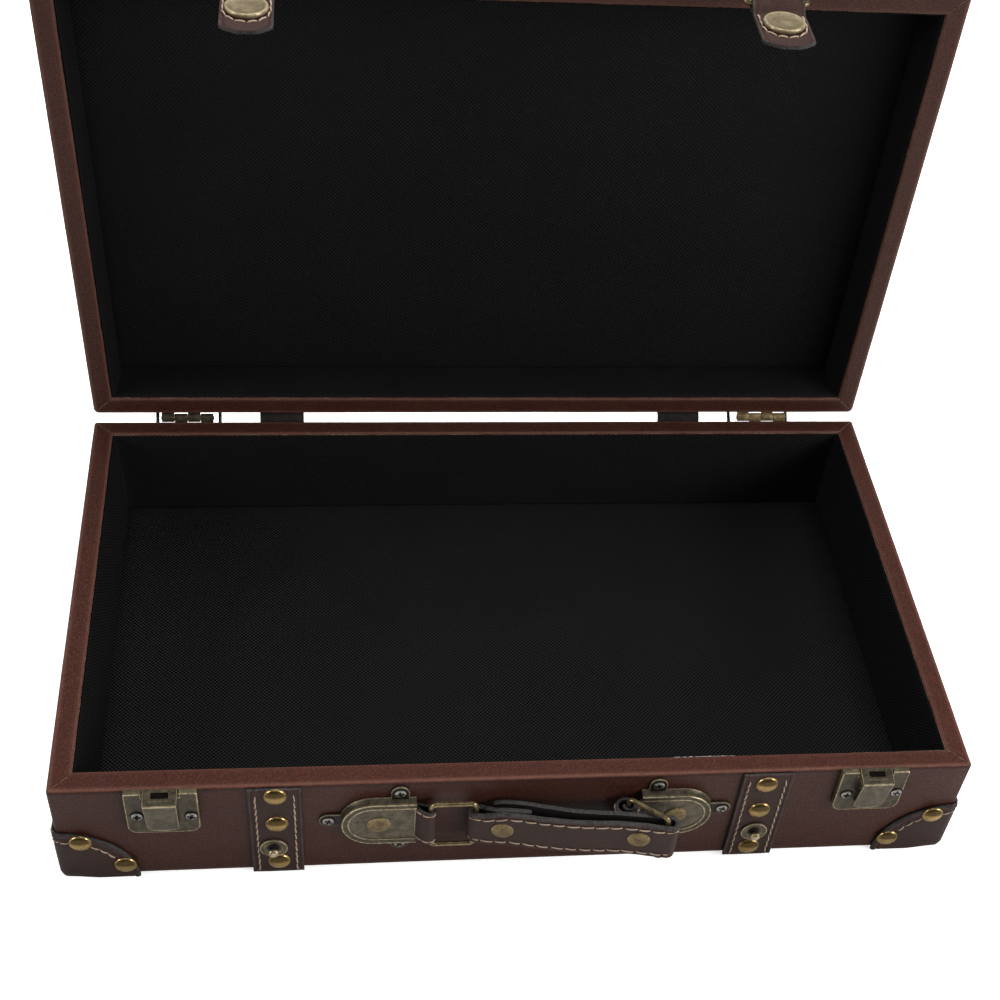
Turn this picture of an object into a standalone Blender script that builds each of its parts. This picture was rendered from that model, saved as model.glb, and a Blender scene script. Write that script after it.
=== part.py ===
"""Leatherette covered wooden suitcase box, standing open.

World frame: +X to the right seen from the front, +Y to the back, +Z up.
Origin: middle of the flat underside.
The lid, the closure rings, the strap tails, the latch levers, the hinge
stays and the handle links each hang from an empty that sits on their axis.
Pieces of the lid are drawn in the closed position and swung open by the
lid's empty.
"""
import math

import bmesh
import bpy
from mathutils import Matrix, Vector

MM = 0.001

# ---------------------------------------------------------------- dimensions
WIDTH = 400 * MM            # across, left to right
DEPTH = 235 * MM            # front to back
BASE_H = 61 * MM            # underside to rim
LID_H = 30 * MM             # rim to outer top, closed
GAP = 0.3 * MM              # between pieces that touch
SKIN = 0.8 * MM             # leatherette
WOOD = 7.4 * MM             # wall boards
BOARD = 4.0 * MM            # bottom board and lid board
LINING = 0.9 * MM           # lining at the rim
LINING_FOOT = 3.0 * MM      # and where it meets the pad, over its wadding
RIM = 2 * SKIN + 2 * GAP + WOOD
FLOOR_Z = 13.0 * MM         # top of the padded floor
FOLD_DEPTH = 10.0 * MM      # leatherette turned down inside the base
LID_FOLD = 8.0 * MM

XR = WIDTH / 2
YF = -DEPTH / 2
YB = DEPTH / 2
SEAM = 0.5 * MM             # between the two rims when closed
AXIS_Y = YB + 2.5 * MM      # lid hinge line
AXIS_Z = BASE_H + SEAM / 2
LID_Z0 = BASE_H + SEAM
LID_Z1 = LID_Z0 + LID_H
OPEN_ANGLE = 90.0           # lid as it stands, degrees

STRAP_X = {"left": -106.6 * MM, "right": 107.2 * MM}       # on the base, in front
CLOSE_X = {"left": -108.2 * MM, "right": 107.2 * MM}       # rings, tails and studs
BACK_X = {"left": -105.2 * MM, "right": 104.3 * MM}        # on the back
STRAP_W = 22.5 * MM
STRAP_T = 1.6 * MM
STUD_Z = 20.0 * MM
PATCH_R = 33.0 * MM
PATCH_T = 1.2 * MM

LATCH_X = {"left": -153.4 * MM, "right": 155.0 * MM}
PLATE_HALF_W = 15.2 * MM
PLATE_Z0 = 35.0 * MM
PLATE_Z1 = 62.0 * MM
LEVER_PIN_S = 5.4 * MM      # out from the front face
LEVER_PIN_Z = 57.0 * MM

HINGE_X = {"left": -153.2 * MM, "right": 149.6 * MM}
BARREL = 26.0 * MM
KNUCKLE_R = 2.2 * MM
PIN_R = 0.9 * MM
STAY_DROP = 9.0 * MM        # stay pivot below the lid hinge line
STAY_ARM = 16.84 * MM
STAY_LEAN = 55.6            # degrees from upright, lid open

HANDLE_X = 2.7 * MM         # the handle sits a little right of the middle
HANDLE_Z = 36.8 * MM
CASE_END = 49.2 * MM        # flat end of a casing from the handle's middle
CASE_R = 13.9 * MM
CASE_TIP = 81.4 * MM
RING_PIVOT = 43.0 * MM
RING_W = 19.5 * MM
RING_H = 29.0 * MM
RING_R = 1.1 * MM
RING_S = 5.0 * MM
RIGHT_RING_ANGLE = 36.0     # degrees out from the wall at rest
GRIP_LENGTH = 82.1 * MM
GRIP_ANGLE = 7.73
GRIP_W = 21.0 * MM
GRIP_T = 2.2 * MM
GRIP_SAG = 4.0 * MM

TOP_BAR = (5.05 * MM, 4.0 * MM)      # closure ring's upper bar: out, above the seam
LOW_BAR = (7.90 * MM, -24.4 * MM)    # its lower bar when closed
CLOSURE_HALF_W = 13.4 * MM
CLOSURE_DROOP = 4.7                  # degrees inward while the lid is open
TAIL_LIFT = 6.0                      # degrees off the stud
TAIL_T = 1.5 * MM
CAP_R = 8.7 * MM


# ------------------------------------------------------------------- helpers
def clear_scene():
    for ob in list(bpy.data.objects):
        bpy.data.objects.remove(ob, do_unlink=True)


def collection(name):
    col = bpy.data.collections.get(name)
    if col is None:
        col = bpy.data.collections.new(name)
        bpy.context.scene.collection.children.link(col)
    return col


clear_scene()
PARTS = collection("suitcase_box")
CUTTERS = collection("cutters")


def material(name, rgb, rough, metal=0.0):
    mat = bpy.data.materials.get(name) or bpy.data.materials.new(name)
    mat.use_nodes = True
    bsdf = mat.node_tree.nodes["Principled BSDF"]
    bsdf.inputs["Base Color"].default_value = (*rgb, 1.0)
    bsdf.inputs["Roughness"].default_value = rough
    bsdf.inputs["Metallic"].default_value = metal
    mat.diffuse_color = (*rgb, 1.0)
    return mat


LOOKS = {
    "skin": ((0.060, 0.026, 0.020), 0.45, 0.0),
    "leather": ((0.045, 0.026, 0.022), 0.55, 0.0),
    "wood": ((0.55, 0.42, 0.28), 0.8, 0.0),
    "cloth": ((0.006, 0.006, 0.007), 0.9, 0.0),
    "brass": ((0.30, 0.24, 0.13), 0.38, 1.0),
    "steel": ((0.35, 0.34, 0.32), 0.35, 1.0),
}


def dress(ob, look):
    rgb, rough, metal = LOOKS[look]
    ob.data.materials.append(material(ob.name + "_finish", rgb, rough, metal))


def put(ob, look, pivot=None):
    PARTS.objects.link(ob)
    dress(ob, look)
    if pivot is not None:
        ride(ob, pivot)
        for mod in ob.modifiers:
            if mod.type == "BOOLEAN":
                ride(mod.object, pivot)
    return ob


def mesh_object(name, bm):
    mesh = bpy.data.meshes.new(name)
    bmesh.ops.recalc_face_normals(bm, faces=bm.faces)
    bm.to_mesh(mesh)
    bm.free()
    return bpy.data.objects.new(name, mesh)


def smooth(ob, degrees=35):
    ob.data.shade_smooth()
    ob.data.set_sharp_from_angle(angle=math.radians(degrees))
    return ob


def empty(name, place, euler=(0, 0, 0), parent=None):
    ob = bpy.data.objects.new(name, None)
    ob.empty_display_size = 0.01
    ob.location = place
    ob.rotation_euler = euler
    PARTS.objects.link(ob)
    ob["rest_place"] = list(place)
    if parent is not None:
        ride(ob, parent)
    return ob


def ride(ob, pivot):
    """Hang an object that is drawn in the pivot's unturned frame."""
    ob.parent = pivot
    ob.matrix_parent_inverse = Matrix.Translation(-Vector(pivot["rest_place"]))


def box(name, lo, hi, bevel=0.0, segments=1):
    """A board between two corners, with its origin in the middle."""
    lo, hi = Vector(lo), Vector(hi)
    bm = bmesh.new()
    bmesh.ops.create_cube(bm, size=1.0)
    bmesh.ops.scale(bm, vec=hi - lo, verts=bm.verts)
    ob = mesh_object(name, bm)
    ob.location = (lo + hi) / 2
    if bevel:
        mod = ob.modifiers.new("round", "BEVEL")
        mod.width = bevel
        mod.segments = segments
        mod.limit_method = "ANGLE"
    return ob


def cylinder(name, radius, length, place, axis="Z", segments=16):
    bm = bmesh.new()
    bmesh.ops.create_cone(bm, cap_ends=True, segments=segments, radius1=radius,
                          radius2=radius, depth=length)
    ob = mesh_object(name, bm)
    ob.location = place
    ob.rotation_euler = {"Z": (0, 0, 0), "X": (0, math.pi / 2, 0),
                         "Y": (math.pi / 2, 0, 0)}[axis]
    return ob


def turned(name, profile, place, steps=20, out=(0, -1, 0)):
    """A turned piece: profile of (radius, height) from the top down the outer
    side, turned about its own +Z, which is then pointed along out."""
    mesh = bpy.data.meshes.new(name)
    mesh.from_pydata([(r, 0.0, h) for r, h in profile],
                     [(i, i + 1) for i in range(len(profile) - 1)], [])
    ob = bpy.data.objects.new(name, mesh)
    mod = ob.modifiers.new("turn", "SCREW")
    mod.axis = "Z"
    mod.angle = math.tau
    mod.steps = mod.render_steps = steps
    mod.use_merge_vertices = True
    mod.merge_threshold = 0.00001
    mod.use_smooth_shade = True
    ob.location = place
    ob.rotation_euler = Vector(out).to_track_quat("Z", "Y").to_euler()
    return ob


def flat(name, outline, holes, thick, place, euler=(0, 0, 0)):
    """A flat outline in its own XY, thick along its own Z."""
    curve = bpy.data.curves.new(name, "CURVE")
    curve.dimensions = "2D"
    curve.fill_mode = "BOTH"
    curve.extrude = thick / 2
    for pts in [outline] + list(holes):
        spline = curve.splines.new("POLY")
        spline.points.add(len(pts) - 1)
        for point, (u, v) in zip(spline.points, pts):
            point.co = (u, v, 0.0, 1.0)
        spline.use_cyclic_u = True
    ob = bpy.data.objects.new(name, curve)
    ob.location = place
    ob.rotation_euler = euler
    return ob


def wire(name, points, radius, closed=False):
    """A bent wire along points, given in world terms."""
    curve = bpy.data.curves.new(name, "CURVE")
    curve.dimensions = "3D"
    curve.bevel_depth = radius
    curve.bevel_resolution = 2
    curve.use_fill_caps = not closed
    spline = curve.splines.new("POLY")
    spline.points.add(len(points) - 1)
    for point, p in zip(spline.points, points):
        point.co = (*p, 1.0)
    spline.use_cyclic_u = closed
    return bpy.data.objects.new(name, curve)


def strip(name, path, width, thick, across="X", tip=()):
    """A leather strip along a path of world points, width wide along across
    and thickened evenly to both sides. The rows in tip, each a (point, share
    of the width), narrow its far end."""
    bm = bmesh.new()
    rows = []
    i = "XYZ".index(across)
    for p, share in [(p, 1.0) for p in path] + list(tip):
        a, b = Vector(p), Vector(p)
        a[i] -= width / 2 * share
        b[i] += width / 2 * share
        rows.append((bm.verts.new(a), bm.verts.new(b)))
    for (a, b), (c, d) in zip(rows, rows[1:]):
        bm.faces.new((a, b, d, c))
    ob = mesh_object(name, bm)
    mod = ob.modifiers.new("thick", "SOLIDIFY")
    mod.thickness = thick
    mod.offset = 0.0
    mod.use_even_offset = True
    return smooth(ob, 40)


def as_mesh(ob):
    """Turn a curve, or anything with modifiers, into a plain mesh object."""
    bpy.context.scene.collection.objects.link(ob)
    bpy.context.view_layer.update()
    deps = bpy.context.evaluated_depsgraph_get()
    mesh = bpy.data.meshes.new_from_object(ob.evaluated_get(deps))
    bm = bmesh.new()
    bm.from_mesh(mesh)
    bmesh.ops.remove_doubles(bm, verts=bm.verts, dist=0.000005)
    bmesh.ops.recalc_face_normals(bm, faces=bm.faces)
    bm.to_mesh(mesh)
    bm.free()
    name, place = ob.name, ob.matrix_world.copy()
    bpy.data.objects.remove(ob, do_unlink=True)
    out = bpy.data.objects.new(name, mesh)
    out.matrix_world = place
    return out


def combine(ob, other, operation):
    """Cut or join with another mesh through a Boolean that stays on ob."""
    other.name = ob.name + "_" + operation.lower() + "_tool"
    CUTTERS.objects.link(other)
    other.hide_render = True
    other.display_type = "WIRE"
    mod = ob.modifiers.new(operation.lower(), "BOOLEAN")
    mod.operation = operation
    mod.solver = "EXACT"
    mod.object = other
    return ob


def cut(ob, other):
    return combine(ob, other, "DIFFERENCE")


def join(ob, other):
    return combine(ob, other, "UNION")


def arc(cx, cy, r, a0, a1, n):
    return [(cx + r * math.cos(math.radians(a0 + (a1 - a0) * i / n)),
             cy + r * math.sin(math.radians(a0 + (a1 - a0) * i / n)))
            for i in range(n + 1)]


def flow(points, per=4):
    """A smooth run through points (Catmull-Rom)."""
    pts = [Vector(p) for p in points]
    pts = [2 * pts[0] - pts[1]] + pts + [2 * pts[-1] - pts[-2]]
    out = []
    for i in range(1, len(pts) - 2):
        p0, p1, p2, p3 = pts[i - 1:i + 3]
        for k in range(per):
            t = k / per
            out.append(0.5 * ((2 * p1) + (p2 - p0) * t
                              + (2 * p0 - 5 * p1 + 4 * p2 - p3) * t * t
                              + (3 * p1 - p0 - 3 * p2 + p3) * t ** 3))
    out.append(pts[-2])
    return [tuple(p) for p in out]


def front(x, out, z):
    """A point in front of the box's front face."""
    return Vector((x, YF - out, z))


def round_rect(half_x, half_y, radius, z, n=3):
    """A loop of a rounded rectangle around the middle, at height z."""
    pts = []
    for sx, sy, a0 in ((1, 1, 0), (-1, 1, 90), (-1, -1, 180), (1, -1, 270)):
        cx, cy = sx * (half_x - radius), sy * (half_y - radius)
        for i in range(n + 1):
            a = math.radians(a0 + 90 * i / n)
            pts.append((cx + radius * math.cos(a), cy + radius * math.sin(a), z))
    return pts


def shell(name, sections, closed_end=False):
    """A skin over loops (inset from the outline, corner radius, height), made
    as an open surface and thickened inward by the leatherette."""
    bm = bmesh.new()
    loops = []
    for inset, radius, z in sections:
        loops.append([bm.verts.new(p) for p in
                      round_rect(XR - inset, DEPTH / 2 - inset, radius, z)])
    for a, b in zip(loops, loops[1:]):
        n = len(a)
        for i in range(n):
            bm.faces.new((a[i], a[(i + 1) % n], b[(i + 1) % n], b[i]))
    if closed_end:
        bm.faces.new(loops[-1])
    mesh = bpy.data.meshes.new(name)
    bm.to_mesh(mesh)
    bm.free()
    ob = bpy.data.objects.new(name, mesh)
    mod = ob.modifiers.new("thick", "SOLIDIFY")
    mod.thickness = SKIN
    mod.offset = -1.0
    mod.use_even_offset = True
    return smooth(ob, 40)


def lining_band(name, z_rim, z_pad):
    """The side lining: a band round the walls, thicker where it meets the
    padded panel than at the rim."""
    inset = RIM + GAP
    bm = bmesh.new()
    loops = []
    for side, z in ((inset, z_pad), (inset, z_rim), (inset + LINING_FOOT, z_pad),
                    (inset + LINING, z_rim)):
        loops.append([bm.verts.new(p) for p in
                      round_rect(XR - side, DEPTH / 2 - side, 0.4 * MM, z, 1)])
    outer0, outer1, inner0, inner1 = loops
    n = len(outer0)
    for i in range(n):
        j = (i + 1) % n
        bm.faces.new((outer0[i], outer0[j], outer1[j], outer1[i]))
        bm.faces.new((inner0[j], inner0[i], inner1[i], inner1[j]))
        bm.faces.new((outer1[i], outer1[j], inner1[j], inner1[i]))
        bm.faces.new((outer0[j], outer0[i], inner0[i], inner0[j]))
    return mesh_object(name, bm)


# ---------------------------------------------------------- carcass and lining
def build_base():
    a = SKIN + GAP                       # outer face of the wood
    b = a + WOOD                         # inner face of the wood
    put(box("base_underside_sheet", (-XR + a, YF + a, 0), (XR - a, YB - a, SKIN)), "skin")
    put(box("base_bottom_board", (-XR + a, YF + a, SKIN + GAP),
            (XR - a, YB - a, SKIN + GAP + BOARD)), "wood")
    z0 = SKIN + 2 * GAP + BOARD
    z1 = BASE_H - a
    put(box("base_wall_front", (-XR + a, YF + a, z0), (XR - a, YF + b, z1)), "wood")
    put(box("base_wall_back", (-XR + a, YB - b, z0), (XR - a, YB - a, z1)), "wood")
    for side, s in (("left", -1), ("right", 1)):
        xs = sorted((s * (XR - a), s * (XR - b)))
        put(box("base_wall_" + side, (xs[0], YF + b + GAP, z0),
                (xs[1], YB - b - GAP, z1)), "wood")
    put(box("base_floor_pad", (-XR + b + GAP, YF + b + GAP, z0),
            (XR - b - GAP, YB - b - GAP, FLOOR_Z), 1.0 * MM, 2), "cloth")
    r = 1.0 * MM
    put(shell("base_cover", [
        (0, 1.6 * MM, GAP), (0, 1.6 * MM, BASE_H - r),
        (0.3 * r, 1.3 * MM, BASE_H - 0.3 * r), (r, 0.8 * MM, BASE_H),
        (RIM - r, 0.6 * MM, BASE_H), (RIM - 0.3 * r, 0.5 * MM, BASE_H - 0.3 * r),
        (RIM, 0.4 * MM, BASE_H - r), (RIM, 0.4 * MM, BASE_H - FOLD_DEPTH)]), "skin")
    put(lining_band("base_lining", BASE_H - 1.2 * MM, FLOOR_Z + GAP), "cloth")


def build_lid(pivot):
    a = SKIN + GAP
    b = a + WOOD
    top = LID_Z1 - SKIN - GAP
    put(box("lid_board", (-XR + a, YF + a, top - BOARD), (XR - a, YB - a, top), 0.8 * MM),
        "wood", pivot)
    z0, z1 = LID_Z0 + a, top - BOARD - GAP
    put(box("lid_wall_front", (-XR + a, YF + a, z0), (XR - a, YF + b, z1)), "wood", pivot)
    put(box("lid_wall_back", (-XR + a, YB - b, z0), (XR - a, YB - a, z1)), "wood", pivot)
    for side, s in (("left", -1), ("right", 1)):
        xs = sorted((s * (XR - a), s * (XR - b)))
        put(box("lid_wall_" + side, (xs[0], YF + b + GAP, z0),
                (xs[1], YB - b - GAP, z1)), "wood", pivot)
    pad_z = z1 - 2.2 * MM
    put(box("lid_pad", (-XR + b + GAP, YF + b + GAP, pad_z),
            (XR - b - GAP, YB - b - GAP, z1), 0.6 * MM, 2), "cloth", pivot)
    r, big = 1.0 * MM, 2.0 * MM
    put(shell("lid_cover", [
        (RIM, 0.4 * MM, LID_Z0 + LID_FOLD), (RIM, 0.4 * MM, LID_Z0 + r),
        (RIM - 0.3 * r, 0.5 * MM, LID_Z0 + 0.3 * r), (RIM - r, 0.6 * MM, LID_Z0),
        (r, 0.8 * MM, LID_Z0), (0.3 * r, 1.3 * MM, LID_Z0 + 0.3 * r),
        (0, 1.6 * MM, LID_Z0 + r), (0, 1.6 * MM, LID_Z1 - big),
        (0.3 * big, 1.5 * MM, LID_Z1 - 0.3 * big), (big, 1.2 * MM, LID_Z1)], True),
        "skin", pivot)
    put(lining_band("lid_lining", LID_Z0 + 1.2 * MM, pad_z - GAP), "cloth", pivot)


# ------------------------------------------------------------ corner patches
def build_patches():
    """Quarter round leather patches folded round the lower corners."""
    t = PATCH_T
    for name, sx, sy in (("front_left", -1, -1), ("front_right", 1, -1),
                         ("back_left", -1, 1), ("back_right", 1, 1)):
        z0 = 0.4 * MM
        over = GAP + t
        lobe = [(-over, z0), (-over, PATCH_R), (0, PATCH_R)]
        lobe += arc(0, 0, PATCH_R, 90, 0, 8)[1:-1] + [(PATCH_R, z0)]
        face = as_mesh(flat("corner_patch_" + name, lobe, [], t,
                            (sx * XR, sy * (DEPTH / 2 + GAP + t / 2), 0),
                            (math.pi / 2, 0, 0 if sx < 0 else math.pi)))
        side = as_mesh(flat("side", lobe, [], t,
                            (sx * (XR + GAP + t / 2), sy * DEPTH / 2, 0),
                            (math.pi / 2, 0, math.pi / 2 if sy < 0 else -math.pi / 2)))
        put(join(face, side), "leather")


# --------------------------------------------------------- straps and closure
def build_straps(lid):
    half = STRAP_W / 2
    for side in ("left", "right"):
        x = STRAP_X[side]
        put(box("base_strap_" + side, front(x - half, GAP + STRAP_T, 0.5 * MM),
                front(x + half, GAP, BASE_H - 0.1 * MM), 0.2 * MM), "leather")
        put(turned("snap_stud_" + side, [
            (0, 4.1 * MM), (1.6 * MM, 4.0 * MM), (2.4 * MM, 3.4 * MM),
            (2.4 * MM, 2.9 * MM), (1.7 * MM, 2.1 * MM), (1.7 * MM, 1.3 * MM),
            (4.0 * MM, 1.3 * MM), (5.4 * MM, 1.1 * MM), (6.1 * MM, 0.5 * MM),
            (6.1 * MM, 0), (0, 0)],
            front(CLOSE_X[side], 2 * GAP + STRAP_T, STUD_Z), 20), "brass")
        x = BACK_X[side]
        put(box("base_back_strap_" + side, (x - half, YB + GAP, 0.5 * MM),
                (x + half, YB + GAP + STRAP_T, AXIS_Z - 12.3 * MM), 0.35 * MM), "leather")
        # the bridge folds into the corner behind the open hinge line
        c = 1.4 * MM
        path = [(-c, -12.0 * MM), (-c, -8.0 * MM)]
        path += [(-c + 5 * MM - 5 * MM * math.cos(t), c - 5 * MM + 5 * MM * math.sin(t))
                 for t in [math.radians(90 * i / 6) for i in range(7)]]
        path += [(8 * MM, c), (12.0 * MM, c)]
        put(strip("strap_bridge_" + side, [(x, AXIS_Y + u, AXIS_Z + v) for u, v in path],
                  STRAP_W, STRAP_T), "leather")
        build_lid_strap(side, lid)
        build_closure(side, CLOSE_X[side], lid)


def build_lid_strap(side, lid):
    """Strap over the lid; its front end is folded round the ring's upper bar.
    It runs a little askew from the back to the front."""
    m = GAP + STRAP_T / 2
    bo, bu = TOP_BAR
    r = 1.45 * MM + STRAP_T / 2
    z = BASE_H
    fold = flow([(m + 1.9 * MM, z + 20 * MM), (m + 1.9 * MM, z + 13 * MM),
                 (bo + r * 0.72, z + bu + r * 1.15)], 3)[:-1]
    fold += arc(bo, z + bu, r, 42, -180, 10)
    fold += flow([(m + 0.35 * MM, z + 8.6 * MM), (m, z + 12.5 * MM), (m, z + 17 * MM)], 2)
    path = [(YF - u, v) for u, v in fold]
    big = 2.8 * MM
    top = LID_Z1 + m
    path += [(YF - m, top - big)]
    path += [(YF - m + big - big * math.cos(t), top - big + big * math.sin(t))
             for t in [math.radians(30 * i) for i in (1, 2, 3)]]
    path += [(YB + m - big + big * math.sin(t), top - big + big * math.cos(t))
             for t in [math.radians(30 * i) for i in (0, 1, 2, 3)]]
    path += [(YB + m, AXIS_Z + 12.3 * MM)]
    x0, x1 = CLOSE_X[side], BACK_X[side]
    slope = (x1 - x0) / (DEPTH - 30 * MM)
    put(strip("lid_strap_" + side,
              [(x0 + slope * min(max(u - YF - 15 * MM, 0), DEPTH - 30 * MM), u, v)
               for u, v in path], STRAP_W, STRAP_T), "leather", lid)


def build_closure(side, x, lid):
    """Ring, tail and snap cap, drawn as they lie when closed and snapped."""
    z = BASE_H
    turn = math.radians(-1.0)
    top = front(x, TOP_BAR[0], z + TOP_BAR[1])
    low = front(x, LOW_BAR[0], z + LOW_BAR[1])
    ring_pivot = empty("closure_ring_pivot_" + side, top,
                       (math.radians(CLOSURE_DROOP), 0, 0), lid)
    down = (low - top).normalized()
    length = (low - top).length
    w, c = CLOSURE_HALF_W, 2.4 * MM
    loop = []
    for cx, cy, a0 in ((w - c, c, -90), (w - c, length - c, 0),
                       (-w + c, length - c, 90), (-w + c, c, 180)):
        loop += arc(cx, cy, c, a0, a0 + 90, 4)
    put(wire("closure_ring_" + side,
             [top + Vector((u, 0, 0)) + down * v for u, v in loop], RING_R, True),
        "brass", ring_pivot)

    tail_pivot = empty("tail_pivot_" + side, low,
                       (math.radians(-TAIL_LIFT), 0, 0), ring_pivot)
    bo, bu = LOW_BAR
    r = 1.45 * MM + TAIL_T / 2
    flat_s = 4.9 * MM + TAIL_T / 2
    path = [(bo - r, z + bu - 2.8 * MM), (bo - r, z + bu - 1.4 * MM)]
    path += arc(bo, z + bu, r, 180, 0, 10)
    path += flow([(bo + r - 0.2 * MM, z + bu - 1.5 * MM), (8.3 * MM, z - 28.0 * MM),
                  (6.4 * MM, z - 30.1 * MM), (flat_s, z - 31.5 * MM)], 3)
    path += [(flat_s, z - 44 * MM), (flat_s, z - 53.6 * MM)]
    tip = [((x, YF - flat_s, z - (54.4 + 4.6 * math.cos(math.radians(a))) * MM),
            math.sin(math.radians(a))) for a in (80, 65, 50, 35, 20)]
    leather = as_mesh(strip("strap_tail_" + side, [(x, YF - u, v) for u, v in path],
                            STRAP_W, TAIL_T, "X", tip))
    cap_at = front(x, flat_s + TAIL_T / 2 + GAP, STUD_Z)
    cut(leather, cylinder("hole", 3.7 * MM, 4 * MM, front(x, flat_s, STUD_Z), "Y", 20))
    put(leather, "leather", tail_pivot)
    d = -(TAIL_T + GAP) + 0.1 * MM
    put(turned("snap_cap_" + side, [
        (0, 1.9 * MM), (3.0 * MM, 1.8 * MM), (6.0 * MM, 1.45 * MM), (7.9 * MM, 0.9 * MM),
        (CAP_R, 0.45 * MM), (CAP_R, 0.1 * MM), (8.4 * MM, 0), (3.4 * MM, 0), (3.4 * MM, d),
        (2.8 * MM, d), (2.8 * MM, 0), (0, 0)], cap_at, 28), "brass", tail_pivot)


# -------------------------------------------------------------------- latches
def build_latches(lid):
    for side in ("left", "right"):
        x = LATCH_X[side]
        w, z0, z1 = PLATE_HALF_W, PLATE_Z0, PLATE_Z1
        t, face = 0.8 * MM, 3.1 * MM

        def rim(inset, r):
            pts = [(-w + inset, z1 - inset - 0.8 * MM), (-w + inset + 0.8 * MM, z1 - inset),
                   (w - inset - 0.8 * MM, z1 - inset), (w - inset, z1 - inset - 0.8 * MM)]
            pts += arc(w - inset - r, z0 + inset + r, r, 0, -90, 5)
            pts += arc(-w + inset + r, z0 + inset + r, r, -90, -180, 5)
            return pts

        lie = (math.pi / 2, 0, 0)
        plate = as_mesh(flat("latch_plate_" + side, rim(0, 4.5 * MM), [], face - GAP,
                             front(x, (face + GAP) / 2, 0), lie))
        cut(plate, as_mesh(flat("hollow", rim(t, 3.7 * MM), [], face,
                                front(x, face / 2 - t, 0), lie)))
        cut(plate, box("notch", front(x - 7.7 * MM, 4 * MM, 59.4 * MM),
                       front(x + 7.7 * MM, -1 * MM, 64 * MM)))
        cut(plate, box("window", front(x - 5.2 * MM, 4 * MM, 51.0 * MM),
                       front(x + 5.2 * MM, 1.5 * MM, 60.2 * MM)))
        for s in (-1, 1):
            xs = sorted((s * 5.3 * MM, s * 6.3 * MM))
            join(plate, box("ear", front(x + xs[0], 6.1 * MM, 55.4 * MM),
                            front(x + xs[1], 2.6 * MM, 58.5 * MM)))
        join(plate, cylinder("pin", 0.75 * MM, 11.2 * MM,
                             front(x, LEVER_PIN_S, LEVER_PIN_Z), "X", 12))
        put(plate, "brass")

        pin = empty("latch_lever_pivot_" + side, front(x, LEVER_PIN_S, LEVER_PIN_Z))
        lever = box("latch_lever_" + side, front(x - 7.15 * MM, 8.2 * MM, 61.1 * MM),
                    front(x + 7.15 * MM, 1.2 * MM, 61.9 * MM))
        # front flap, leaning in towards its rounded lower edge
        lean = math.atan2(3.0, 22.0)
        hw, hb, length = 7.15 * MM, 6.7 * MM, 22.4 * MM
        flap = [(-hw, 0), (hw, 0), (hw - 0.1 * MM, -6 * MM)]
        flap += [(hb - 3.4 * MM + 3.4 * MM * math.cos(math.radians(a)),
                  -length + 3.0 * MM + 3.0 * MM * math.sin(math.radians(a)))
                 for a in range(0, -91, -18)]
        flap += [(-hb + 3.4 * MM - 3.4 * MM * math.cos(math.radians(a)),
                  -length + 3.0 * MM + 3.0 * MM * math.sin(math.radians(a)))
                 for a in range(-90, 1, 18)]
        flap += [(-hw + 0.1 * MM, -6 * MM)]
        join(lever, as_mesh(flat("flap", flap, [], 0.8 * MM,
                                 front(x, 7.8 * MM, 61.75 * MM),
                                 (math.pi / 2 + lean, 0, 0))))
        join(lever, cylinder("knuckle", 1.7 * MM, 9.8 * MM,
                             front(x, LEVER_PIN_S, LEVER_PIN_Z), "X", 16))
        cut(lever, cylinder("bore", 1.1 * MM, 12 * MM,
                            front(x, LEVER_PIN_S, LEVER_PIN_Z), "X", 16))
        cut(lever, box("slot", front(x - 3.75 * MM, 4.3 * MM, 60 * MM),
                       front(x + 3.75 * MM, 1.8 * MM, 63 * MM)))
        put(lever, "brass", pin)

        hook = box("lid_hook_" + side, front(x - 9 * MM, 1.1 * MM, LID_Z0 + 2.2 * MM),
                   front(x + 9 * MM, GAP, LID_Z0 + 16 * MM))
        join(hook, box("jog", front(x - 3.3 * MM, 2.9 * MM, LID_Z0 + 2.2 * MM),
                       front(x + 3.3 * MM, 0.7 * MM, LID_Z0 + 3.1 * MM)))
        join(hook, box("tongue", front(x - 3.3 * MM, 2.9 * MM, BASE_H - 8.5 * MM),
                       front(x + 3.3 * MM, 2.2 * MM, LID_Z0 + 2.5 * MM)))
        put(hook, "brass", lid)


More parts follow.
